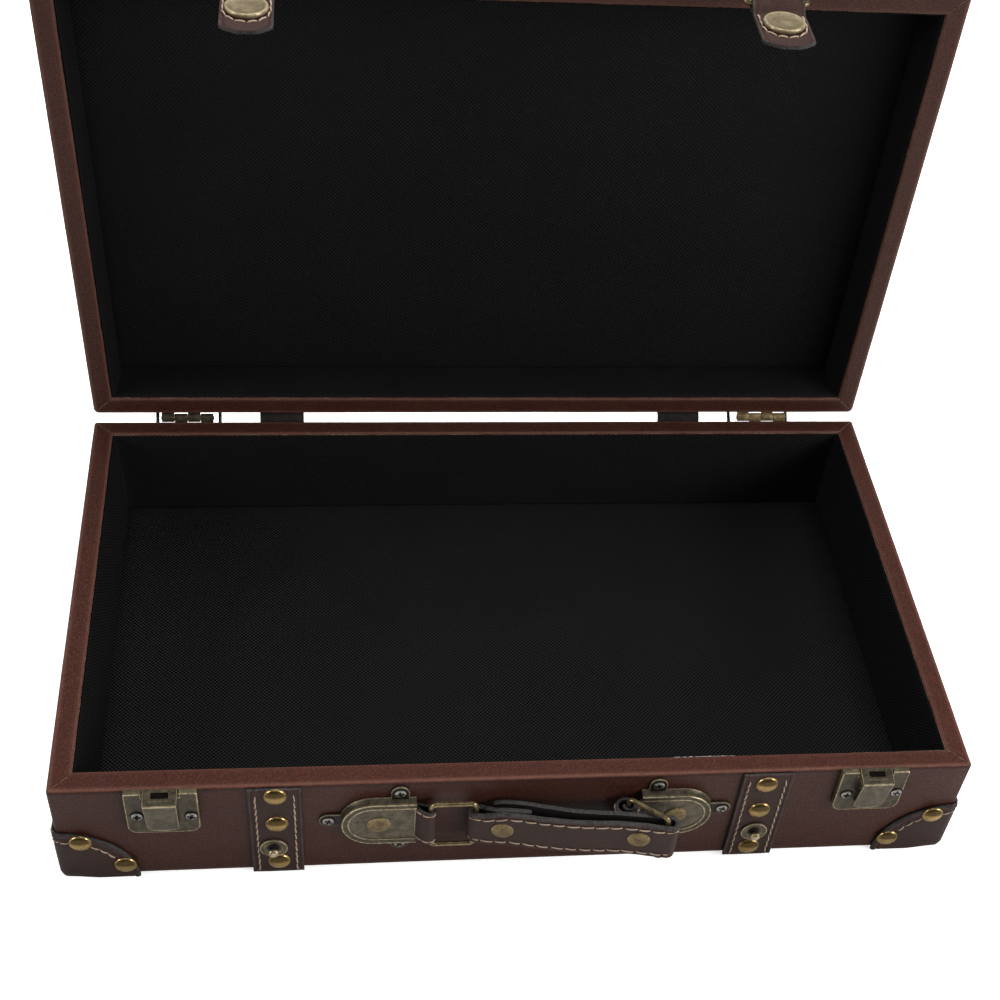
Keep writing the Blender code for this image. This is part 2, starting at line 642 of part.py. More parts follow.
# --------------------------------------------------------------------- hinges
def build_hinges(lid):
    span = (BARREL - 3 * GAP) / 4
    for side in ("left", "right"):
        x = HINGE_X[side]
        starts = [x - BARREL / 2 + i * (span + GAP) for i in range(4)]
        for name, mine, s in (("hinge_leaf_base_", (1, 3), -1), ("hinge_leaf_lid_", (0, 2), 1)):
            near, far = AXIS_Z + s * 2.65 * MM, AXIS_Z + s * (15.6 if s > 0 else 16.0) * MM
            leaf = box(name + side, (x - 13 * MM, YB + GAP, min(near, far)),
                       (x + 13 * MM, YB + GAP + SKIN, max(near, far)))
            for i in mine:
                xa = starts[i]
                join(leaf, cylinder("knuckle", KNUCKLE_R, span,
                                    (xa + span / 2, AXIS_Y, AXIS_Z), "X", 16))
                zs = sorted((AXIS_Z, near + s * 0.5 * MM))
                join(leaf, box("web", (xa, YB + GAP, zs[0]), (xa + span, YB + GAP + SKIN, zs[1])))
            if s < 0:
                for e in (-1, 1):
                    za = AXIS_Z - STAY_DROP
                    xs = sorted((x + e * 12.5 * MM, x + e * 14.8 * MM))
                    join(leaf, box("arm", (xs[0], YB + GAP, za - 1.7 * MM),
                                   (xs[1], YB + GAP + SKIN, za + 1.7 * MM)))
                    xs = sorted((x + e * 13.9 * MM, x + e * 14.8 * MM))
                    join(leaf, box("ear", (xs[0], YB + GAP, za - 1.7 * MM),
                                   (xs[1], YB + 4.2 * MM, za + 1.7 * MM)))
                cut(leaf, cylinder("eye", 0.95 * MM, 34 * MM,
                                   (x, AXIS_Y, AXIS_Z - STAY_DROP), "X", 12))
            else:
                join(leaf, box("lip", (x - 12.6 * MM, YB + GAP, AXIS_Z + 14.8 * MM),
                               (x + 12.6 * MM, YB + 2.7 * MM, AXIS_Z + 15.6 * MM)))
            cut(leaf, cylinder("bore", PIN_R + GAP, BARREL + 4 * MM, (x, AXIS_Y, AXIS_Z), "X", 16))
            put(leaf, "brass", lid if s > 0 else None)
        put(cylinder("hinge_pin_" + side, PIN_R, BARREL + 0.8 * MM, (x, AXIS_Y, AXIS_Z), "X", 16),
            "steel")
        # U shaped wire stay, drawn upright from its eyes and leant back
        place = Vector((x, AXIS_Y, AXIS_Z - STAY_DROP))
        stay = empty("hinge_stay_pivot_" + side, place, (math.radians(-STAY_LEAN), 0, 0))
        w, c = 15.9 * MM, 1.6 * MM
        arm = [(-13.5 * MM, 0), (-w + c, 0)] + arc(-w + c, c, c, -90, -180, 4)[1:]
        arm += arc(-w + c, STAY_ARM - c, c, 180, 90, 4)
        path = arm + [(-u, v) for u, v in reversed(arm)]
        put(wire("hinge_stay_" + side, [place + Vector((u, 0, v)) for u, v in path], 0.6 * MM),
            "steel", stay)


# --------------------------------------------------------------------- handle
def casing_outline(grow, s, lug=False):
    """D outline with the round end away from the handle; s is the side."""
    r = CASE_R + grow
    centre = CASE_TIP - CASE_R
    pts = [(CASE_END - (grow if lug else 0), -r)]
    pts = [(CASE_END, -r)] + arc(centre, 0, r, -90, 90, 14) + [(CASE_END, r)]
    return [(s * u, v) for u, v in pts]


def build_handle():
    z = HANDLE_Z
    lie = (math.pi / 2, 0, 0)
    for side, s in (("left", -1), ("right", 1)):
        # pan with an upstanding wall, open towards the handle, and three lugs
        name = "handle_casing_" + side
        wall0, wall1 = GAP, 3.3 * MM
        pan = as_mesh(flat(name, casing_outline(0, s), [], wall1 - wall0,
                           front(HANDLE_X, (wall0 + wall1) / 2, z), lie))
        inner = [(s * (CASE_END - 2 * MM), -CASE_R + 0.9 * MM)]
        inner += [(s * u, v) for u, v in
                  arc(CASE_TIP - CASE_R, 0, CASE_R - 0.9 * MM, -90, 90, 14)]
        inner += [(s * (CASE_END - 2 * MM), CASE_R - 0.9 * MM)]
        cut(pan, as_mesh(flat("hollow", inner, [], 6 * MM, front(HANDLE_X, 3 * MM - 1 * MM, z), lie)))
        for lx, lz in ((CASE_TIP + 5.6 * MM, 0), (56.1 * MM, 18.3 * MM), (56.1 * MM, -18.3 * MM)):
            reach = 5.6 * MM if lz == 0 else 18.3 * MM - CASE_R
            outline = [(4.0 * MM * math.cos(math.radians(a)), 4.0 * MM * math.sin(math.radians(a)))
                       for a in range(-90, 91, 18)]
            outline += [(-reach - 0.6 * MM, 4.0 * MM), (-reach - 0.6 * MM, -4.0 * MM)]
            spin = {True: 0.0 if s > 0 else math.pi, False: math.pi / 2 if lz > 0 else -math.pi / 2}[lz == 0]
            c, n = math.cos(spin), math.sin(spin)
            outline = [(u * c - v * n, u * n + v * c) for u, v in outline]
            join(pan, as_mesh(flat("lug", outline, [], 0.9 * MM,
                                   front(HANDLE_X + s * lx, GAP + 0.45 * MM, z + lz), lie)))
        put(pan, "brass")
        # cover plate with a raised border and the flat head of its rivet
        cover = as_mesh(flat("handle_cover_" + side, casing_outline(0, s), [], 0.8 * MM,
                             front(HANDLE_X, 3.6 * MM + 0.4 * MM, z), lie))
        cut(cover, as_mesh(flat("dish", casing_outline(-2.2 * MM, s), [], 0.8 * MM,
                                front(HANDLE_X, 4.1 * MM + 0.4 * MM, z), lie)))
        join(cover, cylinder("rivet", 5.4 * MM, 0.9 * MM,
                             front(HANDLE_X + s * 65.2 * MM, 4.35 * MM, z), "Y", 24))
        put(cover, "brass")
        # leather tab folded round the ring's inner bar
        bx, bs, r = RING_PIVOT, RING_S, 2.9 * MM
        loop = [(bx + 3.2 * MM, 0.7 * MM), (bx + 20 * MM, 0.7 * MM), (bx + 20 * MM, 3.2 * MM),
                (CASE_END - 0.6 * MM, 3.2 * MM), (bx + 4.6 * MM, bs + 0.6 * MM)]
        loop += arc(bx, bs, r, 55, 285, 16)
        loop = [(s * u, v) for u, v in loop]
        hole = [(s * u, v) for u, v in arc(bx, bs, 1.45 * MM, 0, 330, 11)]
        # outline drawn in plan: out from the wall is +v, so it lies along -Y
        put(flat("handle_tab_" + side, [(u, -v) for u, v in loop], [[(u, -v) for u, v in hole]],
                 25.6 * MM, (HANDLE_X, YF, z)), "leather")

    pivots = {}
    for side, s in (("left", -1), ("right", 1)):
        place = front(HANDLE_X + s * RING_PIVOT, RING_S, z)
        angle = 0.0 if s < 0 else RIGHT_RING_ANGLE
        pivot = empty("handle_ring_pivot_" + side, place, (0, 0, math.radians(-angle)))
        pivots[side] = pivot
        c = 2.3 * MM
        w, h = RING_W, RING_H / 2
        loop = []
        for cx, cz, a0 in ((w - c, -h + c, -90), (w - c, h - c, 0), (c, h - c, 90), (c, -h + c, 180)):
            loop += arc(cx, cz, c, a0, a0 + 90, 4)
        put(wire("handle_ring_" + side, [place + Vector((u, 0, v)) for u, v in loop],
                 RING_R, True), "brass", pivot)

    # the grip: a front layer whose ends fold round both rings and run back
    start = front(HANDLE_X - RING_PIVOT + RING_W, RING_S, z)
    grip = empty("grip_pivot", start, (0, 0, math.radians(-GRIP_ANGLE)), pivots["left"])
    L, t = GRIP_LENGTH, GRIP_T
    r = 1.5 * MM + t / 2
    rr = 1.8 * MM + t / 2
    slack = 2.4 * MM
    path = [(23 * MM, 1.0 * MM), (11 * MM, 0.7 * MM), (5 * MM, -1.1 * MM), (2 * MM, -2.35 * MM)]
    path += arc(0, 0, r, -90, -270, 10)
    path += [(5 * MM, 2.85 * MM), (16 * MM, 3.5 * MM), (30 * MM, 3.95 * MM),
             (48 * MM, 3.7 * MM), (L - 14 * MM, 2.95 * MM), (L - 5 * MM, 2.85 * MM)]
    path += arc(L + slack, 0, rr, 90, -90, 10)
    path += [(L - 4.0 * MM, -2.60 * MM), (L - 8 * MM, -1.50 * MM), (L - 14 * MM, 0.10 * MM),
             (56 * MM, 1.05 * MM), (42 * MM, 1.35 * MM), (34 * MM, 0.7 * MM),
             (27 * MM, -1.5 * MM), (18 * MM, -3.2 * MM), (10 * MM, -4.0 * MM)]
    # it hangs a little askew, low at the right
    leather = strip("handle_grip", [start + Vector((u, -v, GRIP_SAG * (0.5 - u / L)))
                                    for u, v in path], GRIP_W, t, "Z")
    put(leather, "leather", grip)


# ---------------------------------------------------------------------- build
def main():
    lid = empty("lid_pivot", (0, AXIS_Y, AXIS_Z), (math.radians(-OPEN_ANGLE), 0, 0))
    build_base()
    build_lid(lid)
    build_patches()
    build_straps(lid)
    build_latches(lid)
    build_hinges(lid)
    build_handle()
    bpy.context.view_layer.update()


main()
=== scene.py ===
import math
import random

import bmesh
import bpy
import numpy as np
from mathutils import Matrix, Vector, noise


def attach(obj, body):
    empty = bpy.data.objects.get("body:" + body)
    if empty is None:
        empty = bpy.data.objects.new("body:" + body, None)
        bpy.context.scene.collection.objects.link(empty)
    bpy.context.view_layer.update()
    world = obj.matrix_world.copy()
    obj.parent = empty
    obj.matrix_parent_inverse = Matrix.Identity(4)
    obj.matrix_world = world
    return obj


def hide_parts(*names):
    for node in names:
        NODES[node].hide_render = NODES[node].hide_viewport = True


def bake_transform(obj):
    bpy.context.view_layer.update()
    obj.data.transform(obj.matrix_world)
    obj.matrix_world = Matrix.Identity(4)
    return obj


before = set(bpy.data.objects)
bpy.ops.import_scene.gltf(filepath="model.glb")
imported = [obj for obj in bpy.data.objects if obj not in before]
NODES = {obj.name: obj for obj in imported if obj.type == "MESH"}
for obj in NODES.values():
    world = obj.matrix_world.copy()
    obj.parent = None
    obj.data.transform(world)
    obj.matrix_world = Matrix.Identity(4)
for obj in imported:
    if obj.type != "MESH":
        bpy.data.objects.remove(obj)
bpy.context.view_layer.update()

MM = 0.001
rad = math.radians

# ------------------------------------------------- dimensions, as in the CAD
WIDTH, DEPTH, BASE_H, LID_H = 400 * MM, 235 * MM, 61 * MM, 30 * MM
GAP, SKIN, WOOD, BOARD = 0.3 * MM, 0.8 * MM, 7.4 * MM, 4.0 * MM
LINING, LINING_FOOT = 0.9 * MM, 3.0 * MM
RIM = 2 * SKIN + 2 * GAP + WOOD
FLOOR_Z, FOLD_DEPTH, LID_FOLD = 13.0 * MM, 10.0 * MM, 8.0 * MM
XR, YF, YB = WIDTH / 2, -DEPTH / 2, DEPTH / 2
SEAM = 0.5 * MM
AXIS_Y, AXIS_Z = YB + 2.5 * MM, BASE_H + SEAM / 2
LID_Z0, LID_Z1 = BASE_H + SEAM, BASE_H + SEAM + LID_H
STRAP_X = {"left": -106.6 * MM, "right": 107.2 * MM}
CLOSE_X = {"left": -108.2 * MM, "right": 107.2 * MM}
FLAP_X = {"left": CLOSE_X["left"] - 1.6 * MM, "right": CLOSE_X["right"] - 0.5 * MM}
BACK_X = {"left": -105.2 * MM, "right": 104.3 * MM}
STRAP_W, STRAP_T, STUD_Z = 22.5 * MM, 1.6 * MM, 20.0 * MM
PATCH_R, PATCH_T = 33.0 * MM, 1.2 * MM
LATCH_X = {"left": -153.4 * MM, "right": 155.0 * MM}
HINGE_X = {"left": -153.2 * MM, "right": 149.6 * MM}
STAY_DROP, STAY_ARM, STAY_LEAN = 9.0 * MM, 16.84 * MM, 55.6
HANDLE_X, HANDLE_Z = 2.7 * MM, 36.8 * MM
CASE_END, CASE_R, CASE_TIP = 49.2 * MM, 13.9 * MM, 81.4 * MM
RING_PIVOT, RING_W, RING_H = 43.0 * MM, 19.5 * MM, 29.0 * MM
RING_R, RING_S, RIGHT_RING_ANGLE = 1.1 * MM, 5.0 * MM, 36.0
GRIP_LENGTH, GRIP_ANGLE, GRIP_W = 82.1 * MM, 7.73, 21.0 * MM
GRIP_T = 2.2 * MM
TOP_BAR, LOW_BAR = (5.05 * MM, 4.0 * MM), (7.90 * MM, -24.4 * MM)
CLOSURE_HALF_W, CLOSURE_DROOP, TAIL_LIFT = 13.4 * MM, 4.7, 6.0
TAIL_T, CAP_R = 1.5 * MM, 8.7 * MM


def about(place, matrix):
    return Matrix.Translation(place) @ matrix @ Matrix.Translation(-Vector(place))


def front(x, out, z):
    return Vector((x, YF - out, z))


LID = about(Vector((0, AXIS_Y, AXIS_Z)), Matrix.Rotation(rad(-90), 4, "X"))


def ring_turn(side):
    top = front(CLOSE_X[side], TOP_BAR[0], BASE_H + TOP_BAR[1])
    return LID @ about(top, Matrix.Rotation(rad(CLOSURE_DROOP), 4, "X"))


def tail_turn(side):
    low = front(CLOSE_X[side], LOW_BAR[0], BASE_H + LOW_BAR[1])
    return ring_turn(side) @ about(low, Matrix.Rotation(rad(-TAIL_LIFT), 4, "X"))


GRIP_START = front(HANDLE_X - RING_PIVOT + RING_W, RING_S, HANDLE_Z)
GRIP_TURN = about(GRIP_START, Matrix.Rotation(rad(-GRIP_ANGLE), 4, "Z"))
RIGHT_TURN = about(front(HANDLE_X + RING_PIVOT, RING_S, HANDLE_Z),
                   Matrix.Rotation(rad(-RIGHT_RING_ANGLE), 4, "Z"))


# ------------------------------------------------------------------ materials
class Look:
    """A procedural material around one Principled shader. Sizes are in mm."""

    def __init__(self, name, **sockets):
        self.mat = bpy.data.materials.new(name)
        self.mat.use_nodes = True
        self.tree = self.mat.node_tree
        self.bsdf = self.tree.nodes["Principled BSDF"]
        for key, value in sockets.items():
            self.bsdf.inputs[key.replace("_", " ")].default_value = value
        self.here = None

    def node(self, kind, **props):
        made = self.tree.nodes.new(kind)
        for key, value in props.items():
            setattr(made, key, value)
        return made

    def feed(self, socket, value):
        if isinstance(value, bpy.types.NodeSocket):
            self.tree.links.new(value, socket)
        else:
            socket.default_value = value

    def coords(self, stretch=None, attribute=None):
        if attribute:
            out = self.node("ShaderNodeAttribute", attribute_name=attribute).outputs["Vector"]
        else:
            if self.here is None:
                self.here = self.node("ShaderNodeTexCoord").outputs["Object"]
            out = self.here
        if stretch:
            mapping = self.node("ShaderNodeMapping")
            mapping.inputs["Scale"].default_value = stretch
            self.feed(mapping.inputs["Vector"], out)
            out = mapping.outputs["Vector"]
        return out

    def noise(self, size, detail=3.0, rough=0.55, warp=0.0, stretch=None, attribute=None):
        made = self.node("ShaderNodeTexNoise")
        self.feed(made.inputs["Vector"], self.coords(stretch, attribute))
        made.inputs["Scale"].default_value = 1000.0 / size
        made.inputs["Detail"].default_value = detail
        made.inputs["Roughness"].default_value = rough
        made.inputs["Distortion"].default_value = warp
        return made.outputs["Fac"]

    def cells(self, size, feature="F1", output="Distance", stretch=None, smooth=None):
        made = self.node("ShaderNodeTexVoronoi", feature=feature)
        self.feed(made.inputs["Vector"], self.coords(stretch))
        made.inputs["Scale"].default_value = 1000.0 / size
        if smooth is not None:
            made.inputs["Smoothness"].default_value = smooth
        return made.outputs[output]

    def maths(self, what, a, b=0.0, clamp=False):
        made = self.node("ShaderNodeMath", operation=what, use_clamp=clamp)
        self.feed(made.inputs[0], a)
        self.feed(made.inputs[1], b)
        return made.outputs[0]

    def span(self, value, lo, hi, to_lo=0.0, to_hi=1.0, smooth=True):
        made = self.node("ShaderNodeMapRange",
                         interpolation_type="SMOOTHSTEP" if smooth else "LINEAR")
        self.feed(made.inputs["Value"], value)
        for key, number in (("From Min", lo), ("From Max", hi),
                            ("To Min", to_lo), ("To Max", to_hi)):
            made.inputs[key].default_value = number
        return made.outputs["Result"]

    def mix(self, share, a, b, blend="MIX"):
        made = self.node("ShaderNodeMix", data_type="RGBA", blend_type=blend)
        self.feed(made.inputs["Factor"], share)
        self.feed(made.inputs["A"], a if isinstance(a, bpy.types.NodeSocket) else (*a, 1.0))
        self.feed(made.inputs["B"], b if isinstance(b, bpy.types.NodeSocket) else (*b, 1.0))
        return made.outputs["Result"]

    def edge(self, name="edge"):
        return self.node("ShaderNodeAttribute", attribute_name=name).outputs["Fac"]

    def bump(self, height, mm, under=None, strength=1.0):
        made = self.node("ShaderNodeBump")
        made.inputs["Strength"].default_value = strength
        made.inputs["Distance"].default_value = mm * MM
        self.feed(made.inputs["Height"], height)
        if under is not None:
            self.feed(made.inputs["Normal"], under)
        return made.outputs["Normal"]

    def done(self, colour, rough=None, normal=None):
        self.feed(self.bsdf.inputs["Base Color"], colour)
        if rough is not None:
            self.feed(self.bsdf.inputs["Roughness"], rough)
        if normal is not None:
            self.feed(self.bsdf.inputs["Normal"], normal)
        return self.mat


def leatherette():
    """Thin reddish brown skin with a fine grain, rubbed lighter on its folds, partly a painted highlight, and darkened
    below the rim's fold with painted shade.
    """
    k = Look("leatherette_skin", Specular_IOR_Level=0.26)
    broad = k.noise(70, 3, 0.5)
    patchy = k.noise(9, 4, 0.6)
    grain = k.cells(0.90, "SMOOTH_F1", smooth=0.3)
    pores = k.cells(0.55, "F1")
    fine = k.noise(0.7, 4, 0.7)
    crease = k.noise(2.6, 5, 0.7, 0.8)
    colour = k.mix(k.span(broad, 0.3, 0.7), (0.050, 0.0142, 0.0086), (0.066, 0.0198, 0.0122))
    colour = k.mix(k.span(patchy, 0.35, 0.75, 0.0, 0.60), colour, (0.078, 0.0262, 0.0170))
    colour = k.mix(k.span(grain, 0.12, 0.60, 0.0, 0.85), colour, (0.0230, 0.0070, 0.0047))
    colour = k.mix(k.span(fine, 0.54, 0.78, 0.0, 0.60), colour, (0.120, 0.048, 0.033))
    colour = k.mix(k.span(crease, 0.56, 0.76, 0.0, 0.50), colour, (0.030, 0.0095, 0.0068))
    # rubbed lighter where the edge value is high: wear, and on the rim's fold partly a painted highlight
    wear_and_highlight = k.maths("MULTIPLY", k.edge(), k.span(k.noise(5.5, 5, 0.7), 0.25, 0.66, 0.62, 1.0))
    colour = k.mix(k.maths("MULTIPLY", wear_and_highlight, 0.72, clamp=True), colour, (0.175, 0.080, 0.057))
    shade = k.maths("MULTIPLY", k.span(k.edge(), 0.0, -1.0), 0.75)
    colour = k.mix(shade, colour, (0.010, 0.0036, 0.0026))
    rough = k.span(patchy, 0.3, 0.75, 0.40, 0.52)
    height = k.maths("ADD", k.maths("MULTIPLY", grain, 0.9), k.maths("MULTIPLY", pores, 0.35))
    height = k.maths("SUBTRACT", height, k.maths("MULTIPLY", crease, 0.8))
    normal = k.bump(k.noise(14, 3, 0.5), 0.10)
    normal = k.bump(height, 0.14, normal)
    return k.done(colour, rough, normal)


def lining_cloth(name="nonwoven_lining", depth=0.98, tone=1.0):
    """Black nonwoven cloth, spot welded in a fine diamond pattern."""
    k = Look(name, Specular_IOR_Level=0.07)
    at = k.coords(attribute="weave")
    parts = k.node("ShaderNodeSeparateXYZ")
    wob = k.noise(2.0, 2, 0.5, attribute="weave")
    drift = k.noise(30, 2, 0.5, attribute="weave")
    k.feed(parts.inputs[0], at)
    shift = k.maths("MULTIPLY", k.maths("SUBTRACT", wob, 0.5), 1.1)
    slow = k.maths("MULTIPLY", k.maths("SUBTRACT", drift, 0.5), 7.0)
    u = k.maths("ADD", k.maths("ADD", k.maths("MULTIPLY", parts.outputs[0], math.tau / (1.40 * MM)), shift), slow)
    v = k.maths("SUBTRACT", k.maths("ADD", k.maths("MULTIPLY", parts.outputs[1], math.tau / (1.40 * MM)), shift), slow)
    a, b = k.maths("COSINE", u), k.maths("COSINE", v)
    spots = k.maths("ADD", a, b)                      # welded points on a square grid
    weld = k.span(spots, -0.85, 0.75)
    fibre = k.noise(0.5, 3, 0.7, attribute="weave")
    cloud = k.noise(38, 3, 0.55)
    uneven = k.noise(3.2, 3, 0.6)
    low, mid, high = (tuple(c * tone for c in tint) for tint in (
        (0.0100, 0.0100, 0.0103), (0.0250, 0.0250, 0.0255), (0.0310, 0.0310, 0.0313)))
    colour = k.mix(k.span(fibre, 0.3, 0.75), low, mid)
    colour = k.mix(k.span(uneven, 0.58, 0.78, 0.0, 0.4), colour, high)
    colour = k.mix(k.maths("MULTIPLY", weld, depth), colour, (0.0002, 0.0002, 0.0002))
    colour = k.mix(k.span(cloud, 0.35, 0.75, 0.0, 0.20), colour, (0.0035, 0.0035, 0.0037))
    lint = k.maths("MULTIPLY", k.span(k.noise(1.7, 2, 0.5), 0.71, 0.80), k.span(cloud, 0.5, 0.7))
    colour = k.mix(k.maths("MULTIPLY", lint, 0.30), colour, (0.05, 0.05, 0.05))
    rough = k.span(weld, 0.0, 1.0, 0.80, 0.55)
    height = k.maths("SUBTRACT", k.maths("MULTIPLY", fibre, 0.35), weld)
    return k.done(colour, rough, k.bump(height, 0.20))


def leather(name="strap_leather_face", dark=(0.0300, 0.0148, 0.0125), light=(0.0465, 0.0245, 0.0208)):
    """Purplish dark brown strap leather."""
    k = Look(name, Specular_IOR_Level=0.17)
    broad = k.noise(16, 4, 0.6)
    grain = k.cells(0.72, "SMOOTH_F1", smooth=0.4)
    fine = k.noise(0.35, 3, 0.6)
    colour = k.mix(k.span(broad, 0.3, 0.72), dark, light)
    colour = k.mix(k.span(grain, 0.2, 0.65, 0.0, 0.5), colour, (0.0165, 0.0092, 0.0082))
    rub = k.maths("MULTIPLY", k.edge(), k.span(k.noise(2.2, 4, 0.65), 0.35, 0.7))
    colour = k.mix(rub, colour, (0.080, 0.054, 0.048))
    scuff = k.span(k.noise(4.0, 6, 0.75, 0.4), 0.62, 0.76, 0.0, 0.4)
    colour = k.mix(scuff, colour, (0.060, 0.040, 0.036))
    height = k.maths("ADD", grain, k.maths("MULTIPLY", fine, 0.6))
    normal = k.bump(height, 0.07, k.bump(broad, 0.12))
    return k.done(colour, k.span(broad, 0.25, 0.75, 0.40, 0.56), normal)


def cut_edge():
    """The grey, slightly fibrous cut edge of a strap."""
    k = Look("strap_cut_edge", Specular_IOR_Level=0.35)
    layer = k.noise(1.1, 4, 0.7)
    colour = k.mix(k.span(layer, 0.3, 0.7), (0.010, 0.0095, 0.0095), (0.052, 0.049, 0.047))
    colour = k.mix(k.span(k.noise(0.3, 2, 0.6), 0.35, 0.8, 0.0, 0.5), colour, (0.012, 0.010, 0.010))
    return k.done(colour, k.span(layer, 0.2, 0.8, 0.55, 0.75), k.bump(layer, 0.18))


def flesh_side():
    """The dark, matt back of a strap."""
    k = Look("strap_back", Specular_IOR_Level=0.15)
    nap = k.noise(1.4, 5, 0.75)
    colour = k.mix(k.span(nap, 0.3, 0.7), (0.0055, 0.0048, 0.0046), (0.0190, 0.0165, 0.0155))
    colour = k.mix(k.span(k.noise(12, 3, 0.6), 0.4, 0.75, 0.0, 0.5), colour, (0.0260, 0.0200, 0.0180))
    return k.done(colour, k.span(nap, 0.2, 0.8, 0.7, 0.9), k.bump(nap, 0.16))


def thread():
    k = Look("linen_thread", Specular_IOR_Level=0.3)
    k.bsdf.inputs["Sheen Weight"].default_value = 0.2
    twist = k.noise(0.25, 2, 0.5, stretch=(1, 1, 2.2))
    colour = k.mix(k.span(twist, 0.3, 0.7), (0.19, 0.125, 0.085), (0.44, 0.325, 0.235))
    colour = k.mix(k.span(k.noise(6, 2, 0.5), 0.4, 0.7, 0.0, 0.5), colour, (0.33, 0.235, 0.165))
    return k.done(colour, k.span(twist, 0.2, 0.8, 0.6, 0.8), k.bump(twist, 0.08))


def brass(name, dark, light, bright, grime=0.5, rough=(0.30, 0.46), pit=0.05, size=3.0, metallic=1.0):
    """Aged plating: mottled tarnish, polished where the edge value is high and
    darkened with painted shade where it is below nought."""
    k = Look(name, Metallic=metallic, Specular_IOR_Level=0.5)
    cloud = k.noise(size, 5, 0.68, 0.3)
    speck = k.noise(0.5, 4, 0.7)
    colour = k.mix(k.span(cloud, 0.36, 0.66), dark, light)
    colour = k.mix(k.span(speck, 0.50, 0.70, 0.0, grime), colour, tuple(c * 0.45 for c in dark))
    rub = k.maths("MULTIPLY", k.edge(), k.span(k.noise(1.6, 4, 0.65), 0.25, 0.62))
    colour = k.mix(rub, colour, bright)
    # painted shade: darkens the colour where the edge value is below nought
    painted_shade = k.maths("MULTIPLY", k.span(k.edge(), 0.0, -1.0), 0.88)
    colour = k.mix(painted_shade, colour, tuple(c * 0.16 for c in dark))
    roughness = k.span(k.maths("SUBTRACT", cloud, k.maths("MULTIPLY", rub, 0.25)),
                       0.25, 0.75, rough[0], rough[1])
    height = k.maths("ADD", k.maths("MULTIPLY", cloud, 0.7), speck)
    return k.done(colour, roughness, k.bump(height, pit))


def steel(name, dark, light, rough=(0.28, 0.42)):
    k = Look(name, Metallic=1.0)
    cloud = k.noise(1.4, 4, 0.6)
    colour = k.mix(k.span(cloud, 0.35, 0.68), dark, light)
    colour = k.mix(k.maths("MULTIPLY", k.edge(), 0.8), colour, tuple(min(1, c * 1.6) for c in light))
    return k.done(colour, k.span(cloud, 0.3, 0.7, *rough), k.bump(k.noise(0.4, 3, 0.6), 0.03))


# painted shade: a near-black, dusty finish for recesses, openings and rings under heads
def recess():
    k = Look("recess_shade_dark", Specular_IOR_Level=0.2)
    dust = k.noise(0.8, 4, 0.7)
    colour = k.mix(k.span(dust, 0.4, 0.75), (0.0035, 0.003, 0.0025), (0.020, 0.015, 0.010))
    return k.done(colour, k.span(dust, 0.3, 0.7, 0.6, 0.85), k.bump(dust, 0.08))


def plywood():
    k = Look("plywood", Specular_IOR_Level=0.3)
    grain = k.noise(7, 5, 0.6, 0.6, stretch=(0.12, 1.0, 1.0))
    pores = k.noise(0.8, 3, 0.7, stretch=(0.08, 1.0, 1.0))
    colour = k.mix(k.span(grain, 0.3, 0.7), (0.34, 0.215, 0.115), (0.55, 0.40, 0.245))
    colour = k.mix(k.span(pores, 0.56, 0.75, 0.0, 0.6), colour, (0.19, 0.11, 0.055))
    return k.done(colour, k.span(grain, 0.2, 0.8, 0.62, 0.8), k.bump(pores, 0.12))


def fray():
    k = Look("frayed_edge", Specular_IOR_Level=0.3)
    fibre = k.noise(0.9, 4, 0.75)
    colour = k.mix(k.span(fibre, 0.3, 0.7), (0.030, 0.018, 0.013), (0.21, 0.145, 0.105))
    return k.done(colour, k.span(fibre, 0.2, 0.8, 0.6, 0.8), k.bump(fibre, 0.1))


def glue():
    k = Look("dried_glue", Specular_IOR_Level=0.45)
    blot = k.noise(1.8, 4, 0.7)
    colour = k.mix(k.span(blot, 0.35, 0.65), (0.10, 0.10, 0.10), (0.42, 0.43, 0.42))
    return k.done(colour, k.span(blot, 0.2, 0.8, 0.3, 0.6), k.bump(blot, 0.15))


SKIN_LOOK = leatherette()
CLOTH = lining_cloth()
# painted shade: a darker, lower-contrast copy of the lining for the side walls and the lid's panel
SHADED_LINING = lining_cloth("nonwoven_lining_shaded", 0.66, 0.62)
LEATHER = leather()
EDGE = cut_edge()
THREAD = thread()
FLESH = flesh_side()
PLATE = brass("antique_plate", (0.060, 0.049, 0.032), (0.140, 0.117, 0.078), (0.72, 0.59, 0.36),
              0.45, (0.34, 0.50), 0.035, 3.4, 0.6)
DARKPLATE = brass("dark_plate", (0.040, 0.033, 0.022), (0.098, 0.080, 0.050), (0.60, 0.49, 0.30),
                  0.5, (0.34, 0.50), 0.03, 3.0, 0.6)
WORN = brass("worn_edge", (0.16, 0.125, 0.070), (0.62, 0.50, 0.30), (0.85, 0.72, 0.46),
             0.2, (0.26, 0.40), 0.02, 2.0, 0.8)
GOLD = brass("gold_tack", (0.300, 0.190, 0.062), (0.440, 0.295, 0.108), (0.74, 0.55, 0.27),
             0.15, (0.24, 0.34), 0.005, 4.5, 0.85)
CAPGOLD = brass("snap_cap_gold", (0.120, 0.092, 0.052), (0.205, 0.160, 0.098), (0.60, 0.49, 0.28),
                0.30, (0.30, 0.42), 0.012, 4.5, 0.45)
WIREGOLD = brass("ring_wire", (0.060, 0.044, 0.020), (0.210, 0.160, 0.078), (0.60, 0.47, 0.26),
                 0.20, (0.22, 0.34), 0.008, 5.0, 0.85)
HINGEGOLD = brass("hinge_gold", (0.150, 0.105, 0.050), (0.380, 0.285, 0.140), (0.80, 0.65, 0.38),
                  0.35, (0.28, 0.42), 0.015, 3.0, 0.5)
BRONZE = brass("rivet_bronze", (0.105, 0.072, 0.034), (0.210, 0.150, 0.074), (0.48, 0.37, 0.20),
               0.30, (0.36, 0.50), 0.02, 3.2, 0.9)
